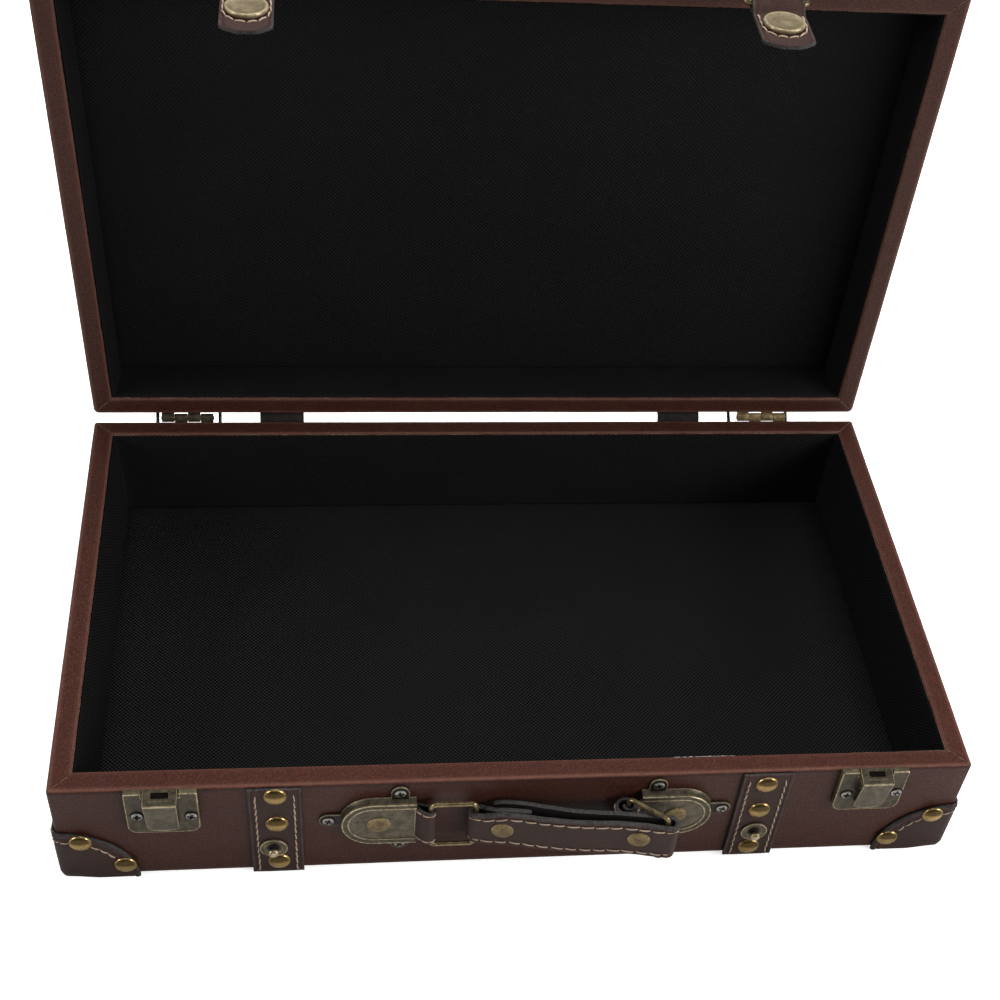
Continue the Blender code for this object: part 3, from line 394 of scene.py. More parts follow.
SCREW = steel("screw_steel", (0.078, 0.075, 0.069), (0.29, 0.28, 0.265))
STAYWIRE = steel("stay_steel", (0.05, 0.048, 0.045), (0.20, 0.19, 0.175), (0.36, 0.5))
RECESS_SHADE = recess()
PLY = plywood()
FRAY = fray()
GLUE = glue()


# ------------------------------------------------------------- mesh gathering
class Form:
    """Vertices, faces and their values, gathered before one mesh is made."""

    def __init__(self):
        self.v, self.f, self.m, self.e, self.w = [], [], [], [], {}

    def add(self, points, edge=0.0):
        base = len(self.v)
        for i, p in enumerate(points):
            self.v.append(Vector(p))
            self.e.append(edge[i] if hasattr(edge, "__len__") else edge)
        return base

    def face(self, idx, m=0):
        self.f.append(tuple(idx))
        self.m.append(m)

    def grid(self, rows, m=0, wrap=False, cap0=None, cap1=None, edge=0.0, close=False):
        """Rows of points joined by quads. wrap joins each row's ends, close
        joins the last row to the first. m may be a list, one per column, and
        edge one per column or one per row and column."""
        n, c = len(rows), len(rows[0])
        base = len(self.v)
        for r, row in enumerate(rows):
            e = edge
            if hasattr(edge, "__len__"):
                e = edge[r] if hasattr(edge[0], "__len__") else edge
            self.add(row, e)
        for r in range(n if close else n - 1):
            r2 = (r + 1) % n
            for k in range(c if wrap else c - 1):
                k2 = (k + 1) % c
                self.face((base + r * c + k, base + r * c + k2, base + r2 * c + k2,
                           base + r2 * c + k), m[k] if hasattr(m, "__len__") else m)
        if cap0 is not None:
            self.face([base + k for k in range(c)][::-1], cap0)
        if cap1 is not None:
            self.face([base + (n - 1) * c + k for k in range(c)], cap1)
        return base

    def turn(self, matrix, start=0):
        for i in range(start, len(self.v)):
            self.v[i] = matrix @ self.v[i]
        return self

    def join(self, other):
        base = len(self.v)
        self.v += other.v
        self.e += other.e
        self.f += [tuple(i + base for i in f) for f in other.f]
        self.m += other.m
        return self


def make(name, form, mats, body, angle=38, stands_for=(), weave=None, ride=True):
    """One mesh piece from a form. weave(face centre and normal, point) gives
    the cloth's own two coordinates."""
    mesh = bpy.data.meshes.new(name)
    mesh.from_pydata([tuple(p) for p in form.v], [], form.f)
    for mat in mats if isinstance(mats, (list, tuple)) else [mats]:
        mesh.materials.append(mat)
    mesh.polygons.foreach_set("material_index", form.m)
    layer = mesh.attributes.new("edge", "FLOAT", "POINT")
    layer.data.foreach_set("value", [float(e) for e in form.e])
    bm = bmesh.new()
    bm.from_mesh(mesh)
    bmesh.ops.recalc_face_normals(bm, faces=bm.faces)
    bm.to_mesh(mesh)
    bm.free()
    mesh.shade_smooth()
    mesh.set_sharp_from_angle(angle=rad(angle))
    if weave is not None:
        layer = mesh.attributes.new("weave", "FLOAT_VECTOR", "CORNER")
        values = []
        for poly in mesh.polygons:
            for li in poly.loop_indices:
                p = mesh.vertices[mesh.loops[li].vertex_index].co
                values += [*weave(poly.center, poly.normal, p), 0.0]
        layer.data.foreach_set("vector", values)
    ob = bpy.data.objects.new(name, mesh)
    bpy.context.scene.collection.objects.link(ob)
    if ride:
        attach(ob, body)
    if stands_for:
        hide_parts(*([stands_for] if isinstance(stands_for, str) else stands_for))
    return ob


def softened(node, mats, body, bevel=0.22, segments=2, suffix="_finished", angle=30):
    """A CAD piece shown with its edges rounded; the roundings take mats[1]."""
    mesh = NODES[node].data.copy()
    mesh.name = node + suffix
    mesh.materials.clear()
    for mat in mats:
        mesh.materials.append(mat)
    bm = bmesh.new()
    bm.from_mesh(mesh)
    bmesh.ops.remove_doubles(bm, verts=bm.verts, dist=0.00001)
    bmesh.ops.dissolve_limit(bm, angle_limit=rad(1.0), verts=bm.verts, edges=bm.edges)
    for f in bm.faces:
        f.material_index = 0
    bm.to_mesh(mesh)
    bm.free()
    mesh.attributes.new("edge", "FLOAT", "POINT")
    ob = bpy.data.objects.new(node + suffix, mesh)
    bpy.context.scene.collection.objects.link(ob)
    mod = ob.modifiers.new("round", "BEVEL")
    mod.width = bevel * MM
    mod.segments = segments
    mod.limit_method = "ANGLE"
    mod.angle_limit = rad(angle)
    mod.use_clamp_overlap = True
    if len(mats) > 1:
        mod.material = 1
    mesh.shade_smooth()
    mesh.set_sharp_from_angle(angle=rad(40))
    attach(ob, body)
    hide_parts(node)
    return ob


def arc(cx, cy, r, a0, a1, n):
    return [(cx + r * math.cos(rad(a0 + (a1 - a0) * i / n)),
             cy + r * math.sin(rad(a0 + (a1 - a0) * i / n))) for i in range(n + 1)]


def flow(points, per=4):
    """A smooth run through points (Catmull-Rom)."""
    pts = [Vector(p) for p in points]
    pts = [2 * pts[0] - pts[1]] + pts + [2 * pts[-1] - pts[-2]]
    out = []
    for i in range(1, len(pts) - 2):
        p0, p1, p2, p3 = pts[i - 1:i + 3]
        for k in range(per):
            t = k / per
            out.append(0.5 * ((2 * p1) + (p2 - p0) * t
                              + (2 * p0 - 5 * p1 + 4 * p2 - p3) * t * t
                              + (3 * p1 - p0 - 3 * p2 + p3) * t ** 3))
    out.append(pts[-2])
    return [tuple(p) for p in out]


def spaced(points, step):
    """The same run with points a step apart, ends kept."""
    pts = [Vector(p) for p in points]
    run = [0.0]
    for a, b in zip(pts, pts[1:]):
        run.append(run[-1] + (b - a).length)
    n = max(2, round(run[-1] / step))
    out, i = [], 0
    for k in range(n + 1):
        d = run[-1] * k / n
        while i < len(run) - 2 and run[i + 1] < d:
            i += 1
        t = (d - run[i]) / max(run[i + 1] - run[i], 1e-9)
        out.append(pts[i].lerp(pts[i + 1], min(max(t, 0), 1)))
    return out


def tube(form, points, radius, sides=10, closed=False, m=0, edge=0.0, ends=True):
    """A round wire. radius may be a list."""
    pts = [Vector(p) for p in points]
    n = len(pts)
    rows = []
    up = None
    for i, p in enumerate(pts):
        a = pts[(i - 1) % n] if closed or i else p
        b = pts[(i + 1) % n] if closed or i < n - 1 else p
        t = (b - a).normalized()
        if up is None:
            up = t.orthogonal().normalized()
        up = (up - t * up.dot(t)).normalized()
        side = t.cross(up)
        r = radius[i] if hasattr(radius, "__len__") else radius
        rows.append([p + (up * math.cos(math.tau * k / sides) + side * math.sin(math.tau * k / sides)) * r
                     for k in range(sides)])
    if closed:
        form.grid(rows, m, wrap=True, close=True, edge=edge)
    else:
        form.grid(rows, m, wrap=True, cap0=m if ends else None, cap1=m if ends else None, edge=edge)
    return form


def lathe(form, profile, place, out=(0, -1, 0), steps=24, m=0, edges=None, spin=0.0):
    """A turned form; profile of (radius, height), first and last on the axis
    or closed by a cap."""
    z = Vector(out).normalized()
    x = z.orthogonal().normalized()
    y = z.cross(x)
    place = Vector(place)
    rows, vals = [], []
    for i, (r, h) in enumerate(profile):
        rows.append([place + z * h + (x * math.cos(spin + math.tau * k / steps)
                                      + y * math.sin(spin + math.tau * k / steps)) * max(r, 1e-6)
                     for k in range(steps)])
        vals.append([edges[i] if edges else 0.0] * steps)
    mm = m
    if hasattr(m, "__len__"):
        for (ra, rb), (va, vb), mi in zip(zip(rows, rows[1:]), zip(vals, vals[1:]), m):
            form.grid([ra, rb], mi, wrap=True, edge=[va, vb])
        return form
    form.grid(rows, mm, wrap=True, cap0=mm, cap1=mm, edge=vals)
    return form


RNG = random.Random(7)


def stitch(form, a, b, n, r, m=0, lift=1.0):
    """One stitch from hole to hole, arched over the leather."""
    a, b, n = Vector(a), Vector(b), Vector(n).normalized()
    d = b - a
    pts = [a - n * r * 1.3, a + n * r * 0.35 * lift + d * 0.07, a + n * r * 0.8 * lift + d * 0.28,
           a + d * 0.5 + n * r * 0.95 * lift, b + n * r * 0.8 * lift - d * 0.28,
           b + n * r * 0.35 * lift - d * 0.07, b - n * r * 1.3]
    tube(form, pts, [r * 0.7, r * 0.9, r, r * 1.04, r, r * 0.9, r * 0.7], 7, m=m)


def seam(form, path, pitch, length, r, slant=0.0, jitter=0.12, m=0, skip=None):
    """A row of stitches along a path of (point, normal)."""
    pts = [Vector(p) for p, _ in path]
    run = [0.0]
    for a, b in zip(pts, pts[1:]):
        run.append(run[-1] + (b - a).length)

    def at(d):
        d = min(max(d, 0), run[-1])
        i = 0
        while i < len(run) - 2 and run[i + 1] < d:
            i += 1
        t = (d - run[i]) / max(run[i + 1] - run[i], 1e-9)
        p = pts[i].lerp(pts[i + 1], t)
        nn = Vector(path[i][1]).lerp(Vector(path[i + 1][1]), t).normalized()
        tt = (pts[i + 1] - pts[i]).normalized()
        return p, nn, tt

    n = max(1, int((run[-1] + pitch - length) / pitch))
    lead = (run[-1] - (n - 1) * pitch - length) / 2
    for k in range(n):
        d0 = lead + k * pitch
        p, nn, tt = at(d0)
        q, nq, tq = at(d0 + length)
        if skip is not None and (skip(p) or skip(q)):
            continue
        across = nn.cross(tt)
        j0 = (RNG.random() - 0.5) * jitter * length
        j1 = (RNG.random() - 0.5) * jitter * length
        stitch(form, p - across * (slant / 2) + tt * j0, q + across * (slant / 2) + tt * j1,
               nn + nq, r * (0.93 + 0.14 * RNG.random()), m)


def section(half, t, groove=None, depth=0.16, r=0.42, crown=0.10, channels=(), flat_back=False):
    """A strap's cross-section as (across, height), its top first from left to
    right, with values for rubbing and a material number per point. Heights
    run from -t/2 to t/2."""
    h = t / 2
    top = [-half + r * MM, half - r * MM]
    marks = []
    if groove:
        for s in (-1, 1):
            g = s * (half - groove)
            marks += [(g - 0.42 * MM, 0), (g, -depth * 1.7), (g + 0.42 * MM, 0.02)]
    for c in channels:
        marks += [(c - 0.5 * MM, 0), (c, -0.12), (c + 0.5 * MM, 0)]
    marks += [(half * k / 5, 0) for k in (-3.2, -2, -1, 0, 1, 2, 3.2)]
    marks += [(top[0], 0), (top[1], 0)]
    marks.sort()
    pts = []
    for a, d in marks:
        puff = crown * (1 - (a / half) ** 2)
        e = 0.9 if abs(a) > half - (r + 0.25) * MM else (0.18 if d < 0 else 0.06)
        pts.append((a, h + (d + puff - crown * 0.3) * MM, e, 0))
    for a0 in (60, 30, 0):
        pts.append((half - r * MM + r * MM * math.cos(rad(a0)),
                    h - r * MM + r * MM * math.sin(rad(a0)), 0.7 if a0 > 20 else 0.3, 1))
    pts.append((half, 0.0, 0.2, 1))
    pts.append((half - 0.05 * MM, -h + 0.25 * MM, 0.2, 1))
    pts.append((half - 0.25 * MM, -h, 0.0, 2))
    pts.append((-half + 0.25 * MM, -h, 0.0, 1))
    pts.append((-half + 0.05 * MM, -h + 0.25 * MM, 0.2, 1))
    pts.append((-half, 0.0, 0.2, 1))
    for a0 in (0, 30, 60):
        pts.append((-half + r * MM - r * MM * math.cos(rad(a0)),
                    h - r * MM + r * MM * math.sin(rad(a0)), 0.7 if a0 > 20 else 0.3, 1))
    return pts


def ribbon(form, path, across, sect, shares=None, up=None, round_ends=(True, True), m_face=0,
           m_edge=1, m_back=1):
    """A strap along path. across is its sideways direction; the section's
    heights go along across x tangent. shares narrows it row by row."""
    pts = [Vector(p) for p in path]
    A = Vector(across).normalized()
    n = len(pts)
    rows, vals = [], []
    lookup = [m_face if s[3] == 0 else (m_edge if s[3] == 1 else m_back) for s in sect]
    tans = []
    for i in range(n):
        a = pts[i - 1] if i else pts[i]
        b = pts[i + 1] if i < n - 1 else pts[i]
        tans.append((b - a).normalized())
    for i in range(n):
        t = tans[i]
        nn = A.cross(t).normalized()
        side = t.cross(nn).normalized()
        stretch = 1.0
        if 0 < i < n - 1:
            d0 = (pts[i] - pts[i - 1]).normalized()
            stretch = 1.0 / max(0.6, math.sqrt(max(0.0, (1 + d0.dot((pts[i + 1] - pts[i]).normalized())) / 2)))
        share = shares[i] if shares else 1.0
        variants = [(0.0, 1.0)]
        if i == 0 and round_ends[0]:
            variants = [(0.0, 0.45), (0.14, 0.82), (0.38, 1.0)]
        if i == n - 1 and round_ends[1]:
            variants = [(-0.38, 1.0), (-0.14, 0.82), (0.0, 0.45)]
        for back, flatten in variants:
            rows.append([pts[i] + t * back * MM + side * a * share
                         + nn * (h if flatten == 1.0 else h * flatten) * stretch
                         for a, h, e, mi in sect])
            vals.append([min(1.0, e + (0.6 if flatten < 1.0 else 0.0)) for a, h, e, mi in sect])
    base = len(form.f)
    form.grid(rows, lookup, wrap=True, cap0=m_edge, cap1=m_edge, edge=vals)
    return form


def inset(outline, amount):
    """A closed outline moved inward; the outline runs anticlockwise."""
    n = len(outline)
    out = []
    for i in range(n):
        ax, ay = outline[i - 1]
        bx, by = outline[i]
        cx, cy = outline[(i + 1) % n]
        l1, l2 = math.hypot(bx - ax, by - ay), math.hypot(cx - bx, cy - by)
        n1 = (-(by - ay) / l1, (bx - ax) / l1)
        n2 = (-(cy - by) / l2, (cx - bx) / l2)
        k = amount / max(0.35, 1 + n1[0] * n2[0] + n1[1] * n2[1])
        out.append((bx + (n1[0] + n2[0]) * k, by + (n1[1] + n2[1]) * k))
    return out


def slab(form, outline, profile, place, m=0, mats=None):
    """Stacked loops of an outline; profile of (inset, height, edge value) from
    the foot up to the top face. place(u, v, height) gives the point."""
    area = sum(a[0] * b[1] - b[0] * a[1] for a, b in zip(outline, outline[1:] + outline[:1]))
    if area < 0:
        outline = outline[::-1]
    rows, vals = [], []
    for d, h, e in profile:
        rows.append([place(u, v, h) for u, v in inset(outline, d)])
        vals.append([e] * len(outline))
    if mats:
        for k in range(len(rows) - 1):
            form.grid(rows[k:k + 2], mats[k], wrap=True, edge=vals[k:k + 2],
                      cap0=mats[0] if k == 0 else None,
                      cap1=mats[-1] if k == len(rows) - 2 else None)
    else:
        form.grid(rows, m, wrap=True, cap0=m, cap1=m, edge=vals)
    return form


def wall(form, run, profile, place, m=0):
    """A closed cross-section (inset, height, edge value) swept along an open run
    of (u, v, inward u, inward v)."""
    rows = [[place(u + iu * d, v + iv * d, h) for d, h, e in profile] for u, v, iu, iv in run]
    form.grid(rows, m, wrap=True, cap0=m, cap1=m, edge=[e for d, h, e in profile])
    return form


def on_front(x0, z0):
    """Places a slab on the front face: u to the right, v up, height outward."""
    return lambda u, v, h: front(x0 + u, h, z0 + v)


def screw(form, place, out=(0, -1, 0), r=2.5, spin=0.4, m=0, dark=1, height=0.95):
    """A cross recess screw with a pan head."""
    z = Vector(out).normalized()
    x0 = z.orthogonal().normalized()
    y0 = z.cross(x0)
    c, s = math.cos(spin), math.sin(spin)
    x, y = x0 * c + y0 * s, y0 * c - x0 * s
    place = Vector(place)
    radii = [0.0, 0.14, 0.28, 0.42, 0.56, 0.70, 0.82, 0.92, 1.0]
    steps = 40
    rows, vals = [], []
    for q in radii:
        row, val = [], []
        for k in range(steps):
            a = math.tau * k / steps
            u, v = q * math.cos(a), q * math.sin(a)
            h = height * math.sqrt(max(0.0, 1 - 0.80 * q * q))
            arm = min(max(abs(u), abs(v)) / 0.66, 1.0)
            thin = min(abs(u), abs(v))
            deep = 0.0
            if arm < 1.0:
                deep = max(0.0, min(1.0, (0.23 - thin) / 0.08)) * (1.0 - 0.35 * arm)
            row.append(place + (x * u + y * v) * r * MM + z * (h - 0.70 * deep) * MM)
            val.append(0.9 * (1 - min(1.0, deep * 2)) * (0.2 + 0.8 * q) - deep)
        rows.append(row)
        vals.append(val)
    rim = [place + (x * math.cos(math.tau * k / steps) + y * math.sin(math.tau * k / steps)) * r * MM * 0.98
           for k in range(steps)]
    rows.append(rim)
    vals.append([0.2] * steps)
    first = len(form.f)
    form.grid(rows, m, wrap=True, cap1=m, edge=vals)
    # painted shade: faces in the cross recess take the dark material
    for f in range(first, len(form.f) - 1):
        if sum(1 for i in form.f[f] if form.e[i] < -0.25) >= 2:
            form.m[f] = dark
    for i in range(len(form.v) - len(rows) * steps, len(form.v)):
        form.e[i] = max(0.0, form.e[i])
    return form


def dome(form, place, out=(0, -1, 0), r=5.0, height=2.6, m=0, steps=28, spin=0.0):
    """A tack's domed head, a little flatter at the crown, turned under at its edge, with a painted dark reflection over
    its upper middle.
    """
    prof, val = [], []
    for i in range(13):
        a = rad(90 * i / 12)
        prof.append((r * math.sin(a) * MM, (0.12 + (height - 0.12) * math.cos(a) ** 0.86) * MM
                     if i < 12 else 0.25 * MM))
        val.append(0.10 if i < 10 else 0.4)
    prof += [((r - 0.05) * MM, 0.05 * MM), ((r - 0.3) * MM, 0.0), (0.0, 0.0)]
    val += [0.3, 0.0, 0.0]
    start = len(form.v)
    lathe(form, prof, place, out, steps, m, val, spin)
    # painted shade: a dark reflection painted over the upper middle of each head
    place, z = Vector(place), Vector(out).normalized()
    rise = (Vector((0, 0, 1)) - z * z.z).normalized()
    if place.z > BASE_H:
        rise = -rise
    for i in range(start, len(form.v)):
        d = Vector(form.v[i]) - place
        d -= z * d.dot(z)
        q, u = d.length / (r * MM), d.dot(rise) / (r * MM)
        if q < 0.96:
            dark = min(1.0, max(0.0, (u - 0.02) / 0.34)) * min(1.0, (0.96 - q) / 0.07)
            if dark > 0.02:
                form.e[i] = -dark
        # a light ring at the head's edge: rubbed, partly a painted highlight
        elif q < 1.01:
            form.e[i] = 0.5
    return form


# ----------------------------------------------------------- camera and light
def look_and_light():
    scene = bpy.context.scene
    scene.view_settings.view_transform = "Standard"
    scene.view_settings.look = "None"
    scene.view_settings.exposure = 0.0
    scene.view_settings.gamma = 1.0

    pitch, yaw, roll = rad(47.3186), rad(-10.6055), rad(6.8021)
    fwd = Vector((-math.sin(yaw) * math.cos(pitch), math.cos(yaw) * math.cos(pitch), -math.sin(pitch)))
    right = Vector((math.cos(yaw), math.sin(yaw), 0))
    up = right.cross(fwd)
    r2 = math.cos(roll) * right + math.sin(roll) * up
    u2 = -math.sin(roll) * right + math.cos(roll) * up
    data = bpy.data.cameras.new("camera")
    data.sensor_width = 36.0
    data.sensor_fit = "HORIZONTAL"
    data.lens = 1600.28 / 1000 * 36.0
    data.shift_x = -0.03659
    data.shift_y = 0.12797
    data.clip_start = 0.01
    data.clip_end = 50
    cam = bpy.data.objects.new("camera", data)
    bpy.context.scene.collection.objects.link(cam)
    place = Vector((-0.079745, -0.526780, 0.608801))
    cam.matrix_world = Matrix(((r2.x, u2.x, -fwd.x, place.x), (r2.y, u2.y, -fwd.y, place.y),
                               (r2.z, u2.z, -fwd.z, place.z), (0, 0, 0, 1)))
    scene.camera = cam

    def area(name, place, target, size, power, glossy=True, diffuse=True):
        lamp = bpy.data.lights.new(name, "AREA")
        lamp.shape = "RECTANGLE"
        lamp.size, lamp.size_y = size
        lamp.energy = power
        ob = bpy.data.objects.new(name, lamp)
        ob.visible_glossy = glossy
        ob.visible_diffuse = diffuse
        ob.location = place
        ob.rotation_euler = (Vector(target) - Vector(place)).to_track_quat("-Z", "Y").to_euler()
        bpy.context.scene.collection.objects.link(ob)

    area("key_above", (0.15, 0.52, 1.60), (0, 0.0, 0.05), (1.5, 1.2), 42, False)
    area("front_soft", (1.35, -1.65, 0.8), (0, 0, 0.06), (1.3, 0.6), 26.5, False)
    area("left_soft", (-1.7, -0.4, 0.9), (0, 0, 0.1), (0.7, 0.8), 12)
    area("right_soft", (1.7, -0.7, 0.9), (0, 0, 0.1), (0.8, 0.8), 19)
    area("back_soft", (0.1, 1.7, 1.75), (0, 0, 0.1), (1.5, 0.7), 7)
    area("sheen_strip", (0.1, -0.25, 1.5), (0, 0, 0.05), (1.2, 0.22), 1.5, True, False)

    world = bpy.data.worlds.new("studio")
    scene.world = world
    world.use_nodes = True
    tree = world.node_tree
    back = tree.nodes["Background"]
    path = tree.nodes.new("ShaderNodeLightPath")
    rise = tree.nodes.new("ShaderNodeMapRange")
    rise.inputs["To Min"].default_value = 0.10
    rise.inputs["To Max"].default_value = 1.0
    tree.links.new(path.outputs["Is Camera Ray"], rise.inputs["Value"])
    tree.links.new(rise.outputs["Result"], back.inputs["Strength"])
    back.inputs["Color"].default_value = (1, 1, 1, 1)

    # pale floor
    mesh = bpy.data.meshes.new("floor")
    s, z = 4.0, -0.0006
    mesh.from_pydata([(-s, -s, z), (s, -s, z), (s, s, z), (-s, s, z)], [], [(0, 1, 2, 3)])
    floor = bpy.data.objects.new("floor", mesh)
    bpy.context.scene.collection.objects.link(floor)
    k = Look("pale_floor", Specular_IOR_Level=0.1)
    tone = k.noise(400, 2, 0.5)
    colour = k.mix(tone, (0.90, 0.90, 0.90), (0.93, 0.93, 0.93))
    k.done(colour, k.span(tone, 0.2, 0.8, 0.75, 0.85))
    # the floor looks fully lit, but throws little light back on the box
    path = k.node("ShaderNodeLightPath")
    glow = k.node("ShaderNodeEmission")
    reach = k.node("ShaderNodeVectorMath", operation="LENGTH")
    k.feed(reach.inputs[0], k.coords())
    k.feed(glow.inputs["Strength"], k.span(reach.outputs["Value"], 0.7, 2.4, 0.60, 1.05))
    both = k.node("ShaderNodeAddShader")
    k.feed(both.inputs[0], k.bsdf.outputs[0])
    k.feed(both.inputs[1], glow.outputs[0])
    dim = k.node("ShaderNodeBsdfDiffuse")
    dim.inputs["Color"].default_value = (0.55, 0.54, 0.53, 1)
    pick = k.node("ShaderNodeMixShader")
    k.feed(pick.inputs[0], path.outputs["Is Camera Ray"])
    k.feed(pick.inputs[1], dim.outputs[0])
    k.feed(pick.inputs[2], both.outputs[0])
    k.feed(k.tree.nodes["Material Output"].inputs["Surface"], pick.outputs[0])
    mesh.materials.append(k.mat)


# ----------------------------------------------------------- leatherette skin
def fine_rect(half_x, half_y, radius, z, nx=96, ny=56, nc=6):
    """A rounded rectangle with points all along its sides; the column in the
    middle of each corner lies on the mitre."""
    pts = []
    corners = ((1, 1, 0), (-1, 1, 90), (-1, -1, 180), (1, -1, 270))
    for q, (sx, sy, a0) in enumerate(corners):
        cx, cy = sx * (half_x - radius), sy * (half_y - radius)
        for i in range(nc + 1):
            a = rad(a0 + 90 * i / nc)
            pts.append(Vector((cx + radius * math.cos(a), cy + radius * math.sin(a), z)))
        nx_, ny_ = corners[(q + 1) % 4][:2]
        b = rad(a0 + 90)
        start = pts[-1]
        end = Vector((nx_ * (half_x - radius) + radius * math.cos(b),
                      ny_ * (half_y - radius) + radius * math.sin(b), z))
        n = nx if sy == ny_ else ny
        for i in range(1, n):
            pts.append(start.lerp(end, i / n))
    return pts


def mitres(nx=96, ny=56, nc=6):
    """Column numbers of the four corners' middles."""
    out, k = [], 0
    for n in (nx, ny, nx, ny):
        out.append(k + nc // 2)
        k += nc + n
    return out


def skin_rows(sections, amount=0.16):
    """Loops for a shell, each (inset, corner radius, height, edge value), with
    the slow unevenness of a skin glued on wood."""
    rows, vals = [], []
    for inset, radius, z, e in sections:
        row = fine_rect(XR - inset, DEPTH / 2 - inset, radius, z)
        row2 = []
        for p in row:
            d = noise.noise(p * 38.0) + 0.6 * noise.noise(p * 110.0 + Vector((3, 1, 7)))
            out = Vector((p.x / XR, p.y / (DEPTH / 2), 0))
            # push square to the nearer side
            side = Vector((math.copysign(1, p.x), 0, 0)) if abs(out.x) > abs(out.y) else \
                Vector((0, math.copysign(1, p.y), 0))
            row2.append(p - side * (0.5 + 0.5 * d) * amount * MM)
        rows.append(row2)
        vals.append([e] * len(row2))
    return rows, vals


def thick(ob, amount=SKIN):
    mod = ob.modifiers.new("thick", "SOLIDIFY")
    mod.thickness = amount
    mod.offset = -1.0
    mod.use_even_offset = True
    mod.use_quality_normals = True
    return ob


def build_skins():
    r = 1.15 * MM
    outer = [(r * (1 - math.cos(rad(a))), r * (1 - math.sin(rad(a)))) for a in (0, 22, 45, 68, 90)]
    # edge values over the fold: the negatives paint shade under it, the positives rub it lighter, partly a painted
    # highlight
    wear_highlight_and_shade = (-0.85, -0.15, 0.40, 0.62, 0.55)
    inner = (0.15, 0.45, 0.55, 0.35, 0.1)
    cols = mitres()

    def rim_rows(level, sign, bend=1.7):
        """From the outer side over the rim to the inner fold. sign is +1 where
        the rim faces up."""
        secs = []
        for (inset, drop), e in zip(outer, wear_highlight_and_shade):
            secs.append((inset, max(0.5 * MM, bend * MM - inset * 0.7), level - sign * drop, e))
        secs.append((r + 0.55 * MM, 0.8 * MM, level, 0.28))
        secs.append((r + 1.3 * MM, 0.7 * MM, level, 0.05))
        for k in (1.6, 2.4, 3.2, 4):
            secs.append((r + (RIM - 2 * r) * k / 5, 0.7 * MM, level, 0.05))
        for (inset, drop), e in zip(reversed(outer), inner):
            secs.append((RIM - inset, 0.5 * MM, level - sign * drop, e))
        return secs

    def dent_mitres(rows, first, last, sign):
        for k in range(first, last + 1):
            for c in cols:
                rows[k][c] = rows[k][c] - Vector((0, 0, sign * 0.22 * MM))

    # base: from the foot up the side, over the rim and down inside
    secs = [(1.00 * MM, 2.4 * MM, 0.30 * MM, 0.2), (0.60 * MM, 2.2 * MM, 0.60 * MM, 0.3),
            (0.25 * MM, 2.0 * MM, 1.2 * MM, 0.5), (0.06 * MM, 1.8 * MM, 2.0 * MM, 0.2), (0, 1.7 * MM, 3.0 * MM, 0.0)]
    secs += [(0, 1.7 * MM, z * MM, 0.0) for z in range(6, 60, 5)]
    # the last row here carries painted shade just under the rim's fold
    secs += [(0, 1.7 * MM, BASE_H - 2.6 * MM, 0.0), (0, 1.7 * MM, BASE_H - 1.9 * MM, -0.45)]
    first = len(secs)
    secs += rim_rows(BASE_H, 1)
    last = len(secs) - 2
    secs += [(RIM, 0.45 * MM, BASE_H - 4 * MM, 0.0), (RIM, 0.45 * MM, BASE_H - FOLD_DEPTH, 0.0)]
    rows, vals = skin_rows(secs)
    dent_mitres(rows, first, last, 1)
    # the front rim is a little broader towards the left
    for row in rows[first:]:
        for c, q in enumerate(row):
            near = (q.y + DEPTH / 2) / RIM
            if near < 1.25 and abs(q.x) < XR:
                row[c] = q + Vector((0, min(1.0, max(0.0, near)) * (0.62 - 0.85 * q.x / XR) * MM, 0))
    form = Form()
    form.grid(rows, 0, wrap=True, edge=vals)
    skin = make("base_skin", form, SKIN_LOOK, "base", 50, "base_cover")
    thick(skin)

    # lid: from the inner fold over the rim, up the side and over the top
    secs = [(RIM, 0.45 * MM, LID_Z0 + LID_FOLD, 0.0), (RIM, 0.45 * MM, LID_Z0 + 4 * MM, 0.0)]
    first = len(secs)
    secs += list(reversed(rim_rows(LID_Z0, -1, 2.7)))
    last = len(secs) - 2
    secs += [(0, 2.7 * MM, LID_Z0 + z * MM, 0.0) for z in (5, 10, 15, 20, 24)]
    big = 2.2 * MM
    for a in (0, 25, 45, 65, 90):
        secs.append((big * (1 - math.cos(rad(a))), 2.7 * MM, LID_Z1 - big * (1 - math.sin(rad(a))),
                     0.42 if 0 < a < 90 else 0.12))
    rows, vals = skin_rows(secs)
    dent_mitres(rows, first, last, -1)
    form = Form()
    base = form.grid(rows, 0, wrap=True, edge=vals)
    # the top plate, filled in rings down to a line in the middle
    n = len(rows[0])
    prev = base + (len(rows) - 1) * n
    for k in range(1, 14):
        t = k / 13
        inset = big + (DEPTH / 2 - big - 0.5 * MM) * t
        ring = fine_rect(XR - inset, DEPTH / 2 - inset, 2.6 * MM * (1 - t) + 0.1 * MM, LID_Z1)
        ring = [p + Vector((0, 0, 0.14 * MM * (noise.noise(p * 38.0) - 0.6))) for p in ring]
        start = form.add(ring, 0.0)
        for c in range(n):
            c2 = (c + 1) % n
            form.face((prev + c, prev + c2, start + c2, start + c))
        prev = start
    form.face([prev + c for c in range(n)])
    form.turn(LID)
    skin = make("lid_skin", form, SKIN_LOOK, "lid", 50, "lid_cover")
    thick(skin)


# --------------------------------------------------------------------- lining
def weave_at(centre, normal, p):
    """Place on the cloth, along its two thread directions."""
    n = [abs(c) for c in normal]
    if n[0] >= max(n[1], n[2]):
        a, b = p.y, p.z
    elif n[1] >= n[2]:
        a, b = p.x, p.z
    else:
        a, b = p.x, p.y
    return (a + b) * 0.7071, (a - b) * 0.7071


